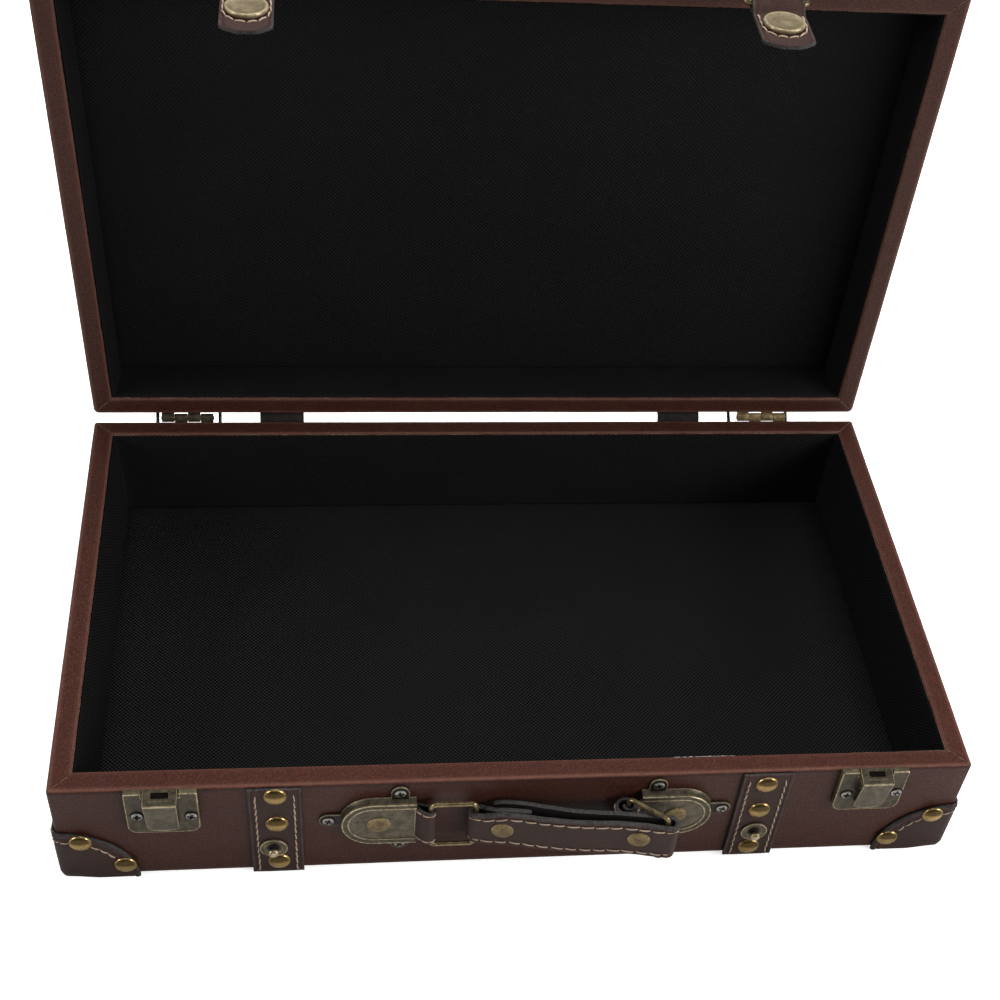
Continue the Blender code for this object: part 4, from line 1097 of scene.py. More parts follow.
def lining_rows(z_rim, z_pad):
    """A closed band: down the inner face with a soft swell and back up behind."""
    inset = RIM + GAP
    up = 1 if z_rim > z_pad else -1
    rows = []
    height = abs(z_rim - z_pad)
    for k in range(15):
        q = k / 14
        depth = LINING + (LINING_FOOT - LINING) * q ** 1.1
        depth += 0.35 * MM * math.sin(math.pi * q) - 0.25 * MM * math.exp(-((q - 0.0) / 0.03) ** 2)
        rows.append((inset + depth, z_rim - up * height * q, q))
    out = []
    # rounded upper edge
    out.append((inset + 0.15 * MM, z_rim - up * 0.25 * MM, 0))
    out.append((inset + 0.4 * MM, z_rim + up * 0.10 * MM, 0))
    out += rows
    # the foot is tucked in between the wall and the panel's edge
    near = SKIN + GAP + WOOD
    out += [(near + 0.32 * MM, z_pad, 1), (near + 0.32 * MM, z_pad - up * 2.0 * MM, 1),
            (near + 0.12 * MM, z_pad - up * 2.0 * MM, 1), (near + 0.12 * MM, z_pad + up * 0.3 * MM, 1),
            (inset + 0.3 * MM, z_pad + up * 0.5 * MM, 1)]
    return out


def build_lining():
    for where in ("base", "lid"):
        if where == "base":
            z_rim, z_pad = BASE_H - 1.2 * MM, FLOOR_Z + GAP
        else:
            top = LID_Z1 - SKIN - GAP - BOARD - GAP
            z_rim, z_pad = LID_Z0 + 1.2 * MM, top - 2.2 * MM - GAP
        rows, vals = [], []
        for k, (side, z, q) in enumerate(lining_rows(z_rim, z_pad)):
            ring = fine_rect(XR - side, DEPTH / 2 - side, 0.9 * MM, z, 90, 54, 4)
            row = []
            for p in ring:
                d = noise.noise(Vector((p.x * 30, p.y * 30, p.z * 24)))
                d += 0.5 * noise.noise(p * 85)
                out = Vector((p.x / XR, p.y / (DEPTH / 2), 0))
                wall = Vector((math.copysign(1, p.x), 0, 0)) if abs(out.x) > abs(out.y) * 0.98 else \
                    Vector((0, math.copysign(1, p.y), 0))
                soft = math.sin(math.pi * min(max(q, 0.04), 0.96))
                row.append(p - wall * (d * 0.30 * MM * soft))
            rows.append(row)
            vals.append([0.0] * len(row))
        form = Form()
        form.grid(rows, 0, wrap=True, close=True, edge=vals)
        if where == "lid":
            form.turn(LID)
        make(where + "_side_cloth", form, SHADED_LINING, where, 60,
                    where + "_lining", weave=weave_at)
        build_pad(where)


def build_pad(where):
    """The padded panel in the bottom, or in the lid: a crowned closed form
    whose sides pull in."""
    a = SKIN + GAP + WOOD
    if where == "base":
        z0, z1 = SKIN + 2 * GAP + BOARD, FLOOR_Z
        sign, low, high = 1, z0, z1
    else:
        z1 = LID_Z1 - SKIN - GAP - BOARD - GAP
        low, high, sign = z1, z1 - 2.2 * MM, -1
    hx, hy = XR - a - GAP - 0.15 * MM, DEPTH / 2 - a - GAP - 0.15 * MM
    nx, ny = 100, 60
    soft = 3.2 * MM

    def height(x, y):
        dx, dy = hx - abs(x), hy - abs(y)
        d = min(dx, dy)
        t = min(1.0, d / soft)
        roll = math.sqrt(max(0.0, 1 - (1 - t) ** 2))
        crown = min(1.0, d / (34 * MM))
        h = (high - low) * sign - 1.1 * MM * (1 - roll) - 0.9 * MM * (1 - crown ** 0.6) * 0.5
        h += (noise.noise(Vector((x * 16, y * 16, 2.0))) * 0.35
              + noise.noise(Vector((x * 55, y * 55, 5.0))) * 0.10) * MM * crown - 0.25 * MM
        return min(h, (high - low) * sign)

    form = Form()
    top = []
    for j in range(ny + 1):
        for i in range(nx + 1):
            u, v = i / nx, j / ny
            x, y = hx * (2 * u - 1), hy * (2 * v - 1)
            top.append(Vector((x, y, low + sign * height(x, y))))
    base = form.add(top)
    for j in range(ny):
        for i in range(nx):
            k = base + j * (nx + 1) + i
            form.face((k, k + 1, k + nx + 2, k + nx + 1))
    rim = [base + i for i in range(nx)] + [base + (nx + 1) * j + nx for j in range(ny)]
    rim += [base + (nx + 1) * ny + i for i in range(nx, 0, -1)] + [base + (nx + 1) * j for j in range(ny, 0, -1)]
    under = form.add([Vector((form.v[i].x, form.v[i].y, low)) for i in rim])
    n = len(rim)
    for i in range(n):
        j = (i + 1) % n
        form.face((rim[i], rim[j], under + j, under + i))
    form.face([under + i for i in range(n)])
    if where == "lid":
        form.turn(LID)
    pad = make(where + "_padded_panel", form, SHADED_LINING if where == "lid" else CLOTH, where, 60,
               "base_floor_pad" if where == "base" else "lid_pad", weave=weave_at)


# -------------------------------------------------------------- corner patches
def wrap_point(sx, sy, d, z, out):
    """A point on the box's side, d along it from the corner (front or back
    face where d > 0, left or right face where d < 0), out from the surface."""
    rho = 1.7 * MM
    half = rho * math.pi / 4
    hx, hy = XR, DEPTH / 2
    if d > half:
        x, y = hx - rho - (d - half), hy + out
    elif d < -half:
        x, y = hx + out, hy - rho - (-d - half)
    else:
        a = rad(45) + d / rho
        x, y = hx - rho + (rho + out) * math.cos(a), hy - rho + (rho + out) * math.sin(a)
    return Vector((sx * x, sy * y, z))


def build_patches():
    stitches, tacks = Form(), Form()
    for name, sx, sy in (("front_left", -1, -1), ("front_right", 1, -1),
                         ("back_left", -1, 1), ("back_right", 1, 1)):
        R, T, z0 = PATCH_R - 0.2 * MM, PATCH_T, 0.4 * MM
        # rings from the middle out: (share of radius or inset in mm, height, edge)
        prof = [(R - i, T + h, e) for i, h, e in (
            (24 * MM, 0.02 * MM, 0), (18 * MM, 0.06 * MM, 0), (12 * MM, 0.08 * MM, 0), (8 * MM, 0.08 * MM, 0),
            (6.1 * MM, 0.05 * MM, 0.05), (5.5 * MM, -0.08 * MM, 0.1), (4.9 * MM, 0.04 * MM, 0.1),
            (4.0 * MM, 0.07 * MM, 0.05), (3.3 * MM, 0.05 * MM, 0.1), (2.9 * MM, -0.20 * MM, 0.1),
            (2.5 * MM, 0.20 * MM, 0.5), (1.5 * MM, 0.42 * MM, 0.25), (0.65 * MM, 0.22 * MM, 0.5),
            (0.15 * MM, -0.20 * MM, 0.5), (0.0, -0.62 * MM, 0.3), (0.05 * MM, -T + 0.2 * MM, 0.2),
            (0.3 * MM, -T, 0.0))]
        core = [(q * MM, T, 0) for q in (0.9, 1.8, 2.8, 4.0, 5.4, 7.2)]
        prof = core + prof
        steps = 60
        rows, vals = [], []
        for r, h, e in prof:
            row = []
            for i in range(steps + 1):
                a = math.pi * i / steps
                d, z = r * math.cos(a), z0 + r * math.sin(a)
                foot = 1.45 * MM * max(0.0, 1 - z / (4.6 * MM)) ** 1.5 * max(0.0, 1 - abs(d) / (11 * MM)) ** 0.5
                row.append(wrap_point(sx, sy, d, z, GAP + max(h - foot, 0)))
            rows.append(row)
            vals.append([e] * len(row))
        form = Form()
        base = form.add([wrap_point(sx, sy, 0, z0, GAP + T - 1.26 * MM)], 0.2)
        first = form.grid(rows, 0, edge=vals)
        for i in range(steps):
            form.face((base, first + i, first + i + 1))
        edge_from = 12 + len(core)
        # faces from the rolled edge outward take the cut edge's finish
        count = 0
        for r in range(len(rows) - 1):
            for i in range(steps):
                if r >= edge_from:
                    form.m[count] = 1
                count += 1
        # back and foot: close against the box
        inner = form.add([wrap_point(sx, sy, 0, z0, GAP)], 0.0)
        last = first + (len(rows) - 1) * (steps + 1)
        for i in range(steps):
            form.face((last + i + 1, last + i, inner), 1)
        for side in (0, steps):
            loop = [base] + [first + r * (steps + 1) + side for r in range(len(rows))] + [inner]
            form.face(loop if side else loop[::-1], 1)
        make("corner_leather_" + name, form, [LEATHER, EDGE], "base", 42,
             "corner_patch_" + name)

        places = []
        r = 28.8 * MM
        for sgn, angles in ((1, (20.0, 70.0)), (-1, (20.0, 52.0))):
            for turn in angles:
                places.append((sgn * r * math.cos(rad(turn)), z0 + r * math.sin(rad(turn)), sgn))
        for d, z, sgn in places:
            at = wrap_point(sx, sy, d, z, GAP + T + 0.05 * MM)
            out = Vector((0, sy, 0)) if sgn > 0 else Vector((sx, 0, 0))
            dome(tacks, at, out, 4.9, 2.3)
        rr = R - 5.5 * MM
        path = []
        for i in range(121):
            a = math.pi * (0.03 + 0.94 * i / 120)
            d, z = rr * math.cos(a), z0 + rr * math.sin(a)
            p = wrap_point(sx, sy, d, z, GAP + T + 0.02 * MM)
            q = wrap_point(sx, sy, d, z, GAP + T + 1.0 * MM)
            path.append((p, q - p))
        hits = [wrap_point(sx, sy, d, z, GAP + T) for d, z, sgn in places]
        seam(stitches, path, 4.4 * MM, 3.7 * MM, 0.36 * MM, 0.25 * MM,
             skip=lambda p: min((p - h).length for h in hits) < 4.6 * MM)
    make("corner_stitches", stitches, THREAD, "base", 60)
    make("corner_tacks", tacks, GOLD, "base", 50)


# ----------------------------------------------------------------- base straps
def build_base_straps():
    half = STRAP_W / 2
    stitches, tacks = Form(), Form()
    sect = section(half, STRAP_T, 1.7 * MM, channels=(-8.2 * MM, 8.2 * MM))
    for side in ("left", "right"):
        x = STRAP_X[side]
        s = GAP + STRAP_T / 2
        path = spaced([front(x, s, 0.6 * MM), front(x, s, BASE_H - 0.3 * MM)], 2.0 * MM)
        form = Form()
        ribbon(form, path[::-1], (-1, 0, 0), sect)
        make("front_strap_leather_" + side, form, [LEATHER, EDGE], "base", 42,
             "base_strap_" + side)
        for e in (-1, 1):
            top = BASE_H - 3.6 * MM
            xx = x + e * 8.2 * MM
            line = [(front(xx, s + STRAP_T / 2, top - (top - 1.5 * MM) * i / 20), (0, -1, 0)) for i in range(21)]
            seam(stitches, line, 4.6 * MM, 3.8 * MM, 0.37 * MM, 0.45 * MM * e)
        for z in ((57.0, 37.5, 9.7) if side == "left" else (54.9, 36.2, 8.2)):
            dx = {"left": 0.4, "right": -0.4}[side]
            dome(tacks, front(x + dx * MM, s + STRAP_T / 2 - 0.03 * MM, z * MM), (0, -1, 0), 5.0, 2.5)
        # back
        x = BACK_X[side]
        y = YB + GAP + STRAP_T / 2
        path = spaced([(x, y, AXIS_Z - 12.4 * MM), (x, y, 0.6 * MM)], 2.0 * MM)
        form = Form()
        ribbon(form, path, (1, 0, 0), sect, round_ends=(False, True))
        make("back_strap_leather_" + side, form, [LEATHER, EDGE], "base", 42,
             "base_back_strap_" + side)
        for e in (-1, 1):
            xx = x + e * 8.2 * MM
            line = [(Vector((xx, y + STRAP_T / 2, (46.5 - 45 * i / 20) * MM)), (0, 1, 0)) for i in range(21)]
            seam(stitches, line, 4.6 * MM, 3.8 * MM, 0.37 * MM, 0.45 * MM * e)
        for z in (41.5, 24.5, 8.5):
            dome(tacks, (x, y + STRAP_T / 2 - 0.03 * MM, z * MM), (0, 1, 0), 5.0, 2.5)
    make("strap_stitches_base", stitches, THREAD, "base", 60)
    make("strap_tacks_base", tacks, GOLD, "base", 50)


def build_studs():
    form = Form()
    for side in ("left", "right"):
        at = front(CLOSE_X[side], 2 * GAP + STRAP_T, STUD_Z)
        prof = [(0, 4.95), (0.8, 4.88), (1.55, 4.6), (2.1, 4.1), (2.32, 3.55), (2.2, 3.0), (1.85, 2.55),
                (1.6, 2.1), (1.6, 1.2), (1.8, 0.55), (2.5, 0.30), (3.2, 0.30), (3.7, 0.55), (4.4, 0.75),
                (5.2, 0.80), (5.6, 0.92), (5.85, 0.95), (6.05, 0.80), (6.15, 0.4), (6.1, 0.0), (0, 0)]
        val = [0.3, 0.3, 0.3, 0.2, 0.2, 0.1, 0, 0, 0, 0, 0, 0, 0.4, 0.1, 0.1, 0.3, 0.9, 0.6, 0.1, 0, 0]
        # painted shade: the neck under the ball takes the dark material
        mats = [1] * 7 + [2] * 3 + [0] * 10
        lathe(form, [(r * MM, h * MM) for r, h in prof], at, (0, -1, 0), 30, mats, val)
    make("snap_stud_metal", form, [DARKPLATE, WORN, RECESS_SHADE], "base", 40,
         ["snap_stud_left", "snap_stud_right"])


# ------------------------------------------------------- frayed seams and glue
def build_frays():
    """Pale fibres where the skin's cut edges meet: on the mitres of both rims
    and along their inner folds, and a smear of dried glue in front."""
    hx, hy = XR - RIM, DEPTH / 2 - RIM
    corners = ((1, 1), (-1, 1), (-1, -1), (1, -1))
    for body, level, up in (("base", BASE_H, 1), ("lid", LID_Z0, -1)):
        form = Form()
        for q, (sx, sy) in enumerate(corners):
            a = Vector((sx * (XR - 0.9 * MM), sy * (DEPTH / 2 - 0.9 * MM), level - up * 0.10 * MM))
            b = Vector((sx * (hx + 0.2 * MM), sy * (hy + 0.2 * MM), level - up * 0.12 * MM))
            pts, radii = [], []
            for i in range(29):
                t = i / 28
                p = a.lerp(b, t)
                w = noise.noise(Vector((t * 9, q * 3.1, level * 100)))
                w2 = noise.noise(Vector((t * 31, q * 5.7, 4 + up)))
                pts.append(p + Vector((sy * w, -sx * w, 0)) * 0.22 * MM)
                radii.append(max(0.03, 0.17 + 0.16 * w2 + 0.10 * w) * MM)
            tube(form, pts, radii, 6)
        # inner folds: (which side, how strong)
        strong = {"base": (1.0, 0.55, 0.35, 0.55), "lid": (0.9, 0.45, 0.3, 0.45)}[body]
        for q, (p0, p1) in enumerate(zip(corners, corners[1:] + corners[:1])):
            a = Vector((p0[0] * hx, p0[1] * hy, level - up * 0.85 * MM))
            b = Vector((p1[0] * hx, p1[1] * hy, level - up * 0.85 * MM))
            inward = Vector((-(p0[0] + p1[0]) / 2, -(p0[1] + p1[1]) / 2, 0)).normalized()
            n = int((b - a).length / (1.3 * MM))
            pts, radii = [], []
            for i in range(n + 1):
                t = i / n
                p = a.lerp(b, t)
                w = noise.noise(Vector((p.x * 90, p.y * 90, 3.0 * q + up)))
                w2 = noise.noise(Vector((p.x * 420, p.y * 420, 7.0 + q)))
                end = max(0.0, 1 - min(t, 1 - t) * n / 12)
                k = strong[q] * (0.55 + 0.9 * w + 0.35 * w2) + 0.55 * end
                pts.append(p + inward * (0.10 + 0.10 * w2) * MM)
                radii.append((0.02 + 0.19 * max(0.0, min(1.0, k))) * MM)
            tube(form, pts, radii, 5)
        if body == "lid":
            form.turn(LID)
        make("frayed_seams_" + body, form, FRAY, body, 60)
    form = Form()
    pts, radii = [], []
    for i in range(61):
        t = i / 60
        x = (65.0 + 30.5 * t) * MM
        w = noise.noise(Vector((t * 22, 1.0, 2.0)))
        pts.append(Vector((x, YF + RIM + 0.35 * MM, BASE_H - 1.05 * MM + 0.12 * w * MM)))
        gap = 0.15 if 0.93 < t < 0.96 else 1.0
        radii.append((0.10 + gap * max(0.04, 0.24 + 0.14 * w) * min(1.0, t * 14, (1 - t) * 14)) * MM)
    tube(form, pts, radii, 7)
    make("glue_smear", form, GLUE, "base", 60)
    # a loose end of thread above the left corner patch
    form = Form()
    p0 = Vector((-XR - 0.4 * MM, YF - 0.2 * MM, 34.5 * MM))
    tube(form, flow([p0, p0 + Vector((-0.7, -0.5, 1.2)) * MM, p0 + Vector((-0.3, -0.9, 2.6)) * MM,
                     p0 + Vector((-1.0, -0.8, 3.9)) * MM], 4), 0.14 * MM, 6)
    make("loose_thread", form, THREAD, "base", 60)


# ------------------------------------------------------------------ lid straps
def lid_strap_path(side):
    m = GAP + STRAP_T / 2
    bo, bu = TOP_BAR
    r = 1.45 * MM + STRAP_T / 2
    z = BASE_H
    fold = flow([(m + 1.9 * MM, z + 20 * MM), (m + 1.9 * MM, z + 13 * MM),
                 (bo + r * 0.72, z + bu + r * 1.15)], 5)[:-1]
    fold += arc(bo, z + bu, r, 42, -180, 22)
    fold += flow([(m + 0.35 * MM, z + 8.6 * MM), (m, z + 12.5 * MM), (m, z + 17 * MM)], 4)
    path = [(YF - u, v) for u, v in fold]
    big = 2.8 * MM
    top = LID_Z1 + m
    path += [(YF - m, top - big)]
    path += [(YF - m + big - big * math.cos(t), top - big + big * math.sin(t))
             for t in [rad(15 * i) for i in range(1, 7)]]
    flat_from = path[-1]
    flat_to = (YB + m - big, top)
    path += [(flat_from[0] + (flat_to[0] - flat_from[0]) * k / 40, top) for k in range(1, 40)]
    path += [(YB + m - big + big * math.sin(t), top - big + big * math.cos(t))
             for t in [rad(15 * i) for i in range(7)]]
    path += [(YB + m, top - big - 4 * MM), (YB + m, AXIS_Z + 12.3 * MM)]
    x0, x1 = FLAP_X[side], BACK_X[side]
    slope = (x1 - x0) / (DEPTH - 30 * MM)
    return [Vector((x0 + slope * min(max(u - YF - 15 * MM, 0), DEPTH - 30 * MM), u, v)) for u, v in path]


def build_lid_straps():
    half = STRAP_W / 2
    sect = section(half, STRAP_T, 1.7 * MM, channels=(-8.2 * MM, 8.2 * MM), crown=0.06)
    stitches, tacks = Form(), Form()
    for side in ("left", "right"):
        path = lid_strap_path(side)
        form = Form()
        ribbon(form, path, (-1, 0, 0), [(a, -h, e, m) for a, h, e, m in sect], m_back=0)
        form.turn(LID)
        make("lid_strap_leather_" + side, form, [LEATHER, EDGE], "lid", 42,
             "lid_strap_" + side)
        # stitches over the flat top
        line = [p for p in path if p.z > LID_Z1 + 0.5 * MM]
        for e in (-1, 1):
            run = [(p + Vector((e * 8.2 * MM, 0, STRAP_T / 2)), Vector((0, 0, 1))) for p in line[3:-3]]
            seam(stitches, run, 4.7 * MM, 3.9 * MM, 0.36 * MM, 0.55 * MM * e)
        x0, x1 = FLAP_X[side], BACK_X[side]
        for q in (0.08, 0.36, 0.64, 0.92):
            y = YF + DEPTH * q
            x = x0 + (x1 - x0) * q
            dome(tacks, (x, y, LID_Z1 + GAP + STRAP_T - 0.03 * MM), (0, 0, 1), 5.0, 2.5)
    stitches.turn(LID)
    tacks.turn(LID)
    make("strap_stitches_lid", stitches, THREAD, "lid", 60)
    make("strap_tacks_lid", tacks, GOLD, "lid", 50)


def build_bridges():
    half = STRAP_W / 2
    sect = section(half, STRAP_T, 1.7 * MM, crown=0.05)
    for side in ("left", "right"):
        x = BACK_X[side]
        c = 1.4 * MM
        path = [(-c, -12.0 * MM), (-c, -10.0 * MM), (-c, -8.0 * MM), (-c, -6.0 * MM)]
        path += [(-c + 5 * MM - 5 * MM * math.cos(t), c - 5 * MM + 5 * MM * math.sin(t))
                 for t in [rad(90 * i / 16) for i in range(17)]]
        path += [(6 * MM, c), (8 * MM, c), (10 * MM, c), (12.0 * MM, c)]
        form = Form()
        ribbon(form, [(x, AXIS_Y + u, AXIS_Z + v) for u, v in path], (1, 0, 0),
               [(a, -h, e, m) for a, h, e, m in sect], round_ends=(False, False), m_back=2)
        ob = make("strap_bridge_leather_" + side, form, [LEATHER, EDGE, FLESH], "base", 42,
                  ride=False)
        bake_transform(ob)
        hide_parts("strap_bridge_" + side)


# -------------------------------------------------------- rings, tails and caps
def build_closures():
    for side in ("left", "right"):
        x = FLAP_X[side]
        z = BASE_H
        top = front(x, TOP_BAR[0], z + TOP_BAR[1])
        low = front(x, LOW_BAR[0], z + LOW_BAR[1])
        down = (low - top).normalized()
        length = (low - top).length
        lean = about(top, Matrix.Rotation(rad(1.2 if side == "right" else 0.0), 4, "Y"))
        w, c = CLOSURE_HALF_W, 2.4 * MM
        loop = []
        for cx, cy, a0 in ((w - c, c, -90), (w - c, length - c, 0),
                           (-w + c, length - c, 90), (-w + c, c, 180)):
            loop += arc(cx, cy, c, a0, a0 + 90, 8)
        pts = []
        for (u0, v0), (u1, v1) in zip(loop, loop[1:] + loop[:1]):
            gap = math.hypot(u1 - u0, v1 - v0)
            n = max(1, int(gap / (2.5 * MM)))
            pts += [(u0 + (u1 - u0) * k / n, v0 + (v1 - v0) * k / n) for k in range(n)]
        form = Form()
        tube(form, [top + Vector((u, 0, 0)) + down * v for u, v in pts], RING_R, 16, closed=True, edge=0.3)
        form.turn(ring_turn(side) @ lean)
        make("closure_ring_metal_" + side, form, WIREGOLD, "closure_ring_" + side, 60,
             "closure_ring_" + side)

        # tail
        bo, bu = LOW_BAR
        r = 1.45 * MM + TAIL_T / 2
        flat_s = 4.9 * MM + TAIL_T / 2
        path = [(bo - r, z + bu - 2.8 * MM), (bo - r, z + bu - 1.4 * MM)]
        path += arc(bo, z + bu, r, 180, 0, 22)
        path += flow([(bo + r - 0.2 * MM, z + bu - 1.5 * MM), (8.3 * MM, z - 28.0 * MM),
                      (6.4 * MM, z - 30.1 * MM), (flat_s, z - 31.5 * MM)], 5)
        path += [(flat_s, z - k * MM) for k in (33.5, 35.5, 38, 40.5, 43, 45.5, 48, 50.5)]
        path += [(flat_s, z - 52.4 * MM)]
        shares = [1.0] * (len(path) - 1) + [0.995]
        for a in (84, 78, 71, 64, 57, 50, 43, 36, 29, 22, 15, 9):
            path.append((flat_s, z - (54.0 + 5.0 * math.cos(rad(a)) ** 2) * MM))
            shares.append(math.sin(rad(a)))
        form = Form()
        half = STRAP_W / 2 * (0.940 if side == "left" else 0.985)
        sect = section(half, TAIL_T, 1.6 * MM, crown=0.08, r=0.38)
        ribbon(form, [(x, YF - u, v) for u, v in path], (-1, 0, 0), sect, shares)
        form.turn(tail_turn(side) @ lean)
        make("tail_leather_" + side, form, [LEATHER, EDGE], "strap_tail_" + side, 42,
             "strap_tail_" + side)

        # stitches: a U round the cap, open towards the ring
        st = Form()
        run = []
        for k in range(7):
            run.append((-9.3, STUD_Z / MM + 9.5 - k * 1.6))
        run += [(9.3 * math.cos(rad(a)), STUD_Z / MM - 1.2 + 9.6 * math.sin(rad(a)))
                for a in range(180, 361, 12)]
        for k in range(7):
            run.append((9.3, STUD_Z / MM - 0.1 + k * 1.6))
        line = [(front(x + u * MM, flat_s + TAIL_T / 2 + 0.02 * MM, v * MM), (0, -1, 0)) for u, v in run]
        seam(st, line, 4.9 * MM, 4.0 * MM, 0.36 * MM, 0.3 * MM)
        st.turn(tail_turn(side) @ lean)
        make("tail_stitches_" + side, st, THREAD, "strap_tail_" + side, 60)

        # cap
        cap = Form()
        at = front(x, flat_s + TAIL_T / 2 + 0.08 * MM, STUD_Z)
        prof = [(0, 1.55), (2.0, 1.53), (4.0, 1.50), (5.6, 1.52), (6.6, 1.62), (7.3, 1.86), (7.9, 1.98),
                (8.35, 1.88), (8.6, 1.6), (8.7, 1.1), (8.65, 0.5), (8.3, 0.0), (5.4, 0.0), (5.4, -1.7),
                (4.8, -1.7), (4.8, 0.6), (0, 0.6)]
        # the raised rim is lighter: rubbed, partly a painted highlight
        val = [0.1, 0.1, 0.1, 0.1, 0.1, 0.2, 0.45, 0.8, 0.6, 0.2, 0.1, 0, 0, 0, 0, 0, 0]
        lathe(cap, [(r0 * MM, h * MM) for r0, h in prof], at, (0, -1, 0), 44, 0, val)
        cap.turn(tail_turn(side) @ lean)
        make("snap_cap_metal_" + side, cap, CAPGOLD, "strap_tail_" + side, 34,
             "snap_cap_" + side)


# -------------------------------------------------------------------- the rest
def build_latches():
    screws = Form()
    for side in ("left", "right"):
        x = LATCH_X[side]
        at = on_front(x, 0)
        w, z0, z1 = 15.2 * MM, 35.0 * MM, 62.0 * MM
        nz, nw = 59.4 * MM, 7.7 * MM
        form = Form()
        out = [(-w + 0.8 * MM, z1), (-w + 0.25 * MM, z1 - 0.25 * MM), (-w, z1 - 0.8 * MM)]
        out += arc(-w + 4.5 * MM, z0 + 4.5 * MM, 4.5 * MM, 180, 270, 8)
        out += arc(w - 4.5 * MM, z0 + 4.5 * MM, 4.5 * MM, 270, 360, 8)
        out += [(w, z1 - 0.8 * MM), (w - 0.25 * MM, z1 - 0.25 * MM), (w - 0.8 * MM, z1),
                (nw, z1), (nw, nz), (5.2 * MM, nz), (5.2 * MM, 51.2 * MM),
                (-5.2 * MM, 51.2 * MM), (-5.2 * MM, nz), (-nw, nz), (-nw, z1)]
        slab(form, out, [(0, 0.3 * MM, 0.1), (0, 1.4 * MM, 0.1), (0, 2.5 * MM, 0.15), (0.06 * MM, 2.82 * MM, 0.8),
                         (0.22 * MM, 3.00 * MM, 1.0), (0.42 * MM, 3.02 * MM, 0.5),
                         (0.60 * MM, 2.96 * MM, 0.05), (0.70 * MM, 2.93 * MM, 0.0)], at)
        # ears and pin behind the lever
        for s in (-1, 1):
            ear = [(3.0 * MM, 55.4 * MM), (5.6 * MM, 55.4 * MM), (6.1 * MM, 56.2 * MM),
                   (6.1 * MM, 57.8 * MM), (5.6 * MM, 58.5 * MM), (3.0 * MM, 58.5 * MM)]
            slab(form, ear, [(0, 0, 0), (0, 1.0 * MM, 0.3)],
                 lambda u, v, h, s=s: front(x + s * (5.3 * MM + h), u, v))
        tube(form, [front(x + k * MM, 5.4 * MM, 57.0 * MM) for k in (-5.6, -2, 2, 5.6)], 0.75 * MM, 12)
        # painted shade: a dark sheet in the opening behind the lever's slot
        hole = [(-5.1 * MM, 51.3 * MM), (5.1 * MM, 51.3 * MM), (5.1 * MM, 59.0 * MM), (-5.1 * MM, 59.0 * MM)]
        slab(form, hole, [(0, 0.4 * MM, 0), (0, 1.9 * MM, 0)], at, 1)
        make("latch_plate_metal_" + side, form, [DARKPLATE, RECESS_SHADE], "base", 34,
             "latch_plate_" + side)

        # lever: one folded sheet, a flange with a slot and a flap below it
        run = [(0.80, 62.45), (1.4, 62.30), (2.05, 62.14), (3.5, 61.81), (5.0, 61.47), (6.6, 61.1), (7.9, 60.8),
               (8.4, 60.66), (8.58, 60.5), (8.62, 60.2)]
        run += [(8.62 - 3.4 * k / 10, 60.2 - 20.6 * k / 10) for k in (0.3, 1, 2, 3, 4, 5, 6, 7, 8.0, 8.35, 8.75,
                                                                       9.2, 9.6, 9.85, 10.0)]
        xs = [-7.15, -6.85, -5.2, -3.75, -1.9, 0, 1.9, 3.75, 5.2, 6.85, 7.15]
        path = [Vector((0, -s_, z_)) for s_, z_ in run]
        rows_t, rows_b = [], []
        for i, p in enumerate(path):
            t = (path[min(i + 1, len(path) - 1)] - path[max(i - 1, 0)]).normalized()
            nn = Vector((0, t.z, -t.y)) * -1
            if nn.y > 0 and abs(nn.y) > abs(nn.z) or (nn.z < 0 and abs(nn.z) > abs(nn.y)):
                nn = -nn
            low = (run[i][1] - run[-1][1]) / 0.987
            hw = 7.15 if low > 3.4 else 7.15 - 3.4 + math.sqrt(max(0.0, 3.4 ** 2 - (3.4 - low) ** 2))
            hw = min(hw, 7.15 - 0.03 * i)
            bulge = lambda q: 0.25 * (1 - (q / 7.15) ** 2) * (i > 10)
            rows_t.append([Vector((x + q / 7.15 * hw * MM, YF, 0)) + (p + nn * bulge(q)) * MM for q in xs])
            rows_b.append([Vector((x + q / 7.15 * hw * MM, YF, 0)) + (p - nn * (0.85 - bulge(q))) * MM for q in xs])
        form = Form()
        n, c = len(run), len(xs)
        ta = form.add([p for r in rows_t for p in r],
                      [max({7: 0.6, 8: 1.0, 9: 0.6}.get(i, 0.0), 0.9 if i >= n - 2 else 0.0,
                           0.8 if k in (0, c - 1) else 0.0) for i in range(n) for k in range(c)])
        ba = form.add([p for r in rows_b for p in r], 0.0)

        def solid(r, k):
            if not (0 <= r < n - 1 and 0 <= k < c - 1):
                return False
            return not (r in (2, 3) and 3 <= k <= 6)

        for r in range(n - 1):
            for k in range(c - 1):
                if not solid(r, k):
                    continue
                q = [r * c + k, r * c + k + 1, (r + 1) * c + k + 1, (r + 1) * c + k]
                form.face([ta + i for i in q], 3 if r < 8 else 0)
                form.face([ba + i for i in q[::-1]], 0)
                for (dr, dk), (i0, i1) in (((-1, 0), (0, 1)), ((0, 1), (1, 2)), ((1, 0), (2, 3)), ((0, -1), (3, 0))):
                    if not solid(r + dr, k + dk):
                        form.face((ta + q[i1], ta + q[i0], ba + q[i0], ba + q[i1]), 0)
        # painted shade: a dark pocket under the slot
        pocket = [(-3.9 * MM, 3.15 * MM), (3.9 * MM, 3.15 * MM), (3.9 * MM, 5.3 * MM), (-3.9 * MM, 5.3 * MM)]
        slab(form, pocket, [(0, 58.6 * MM, 0), (0, 60.2 * MM, 0)], lambda u, v, h: front(x + u, v, h), 2)
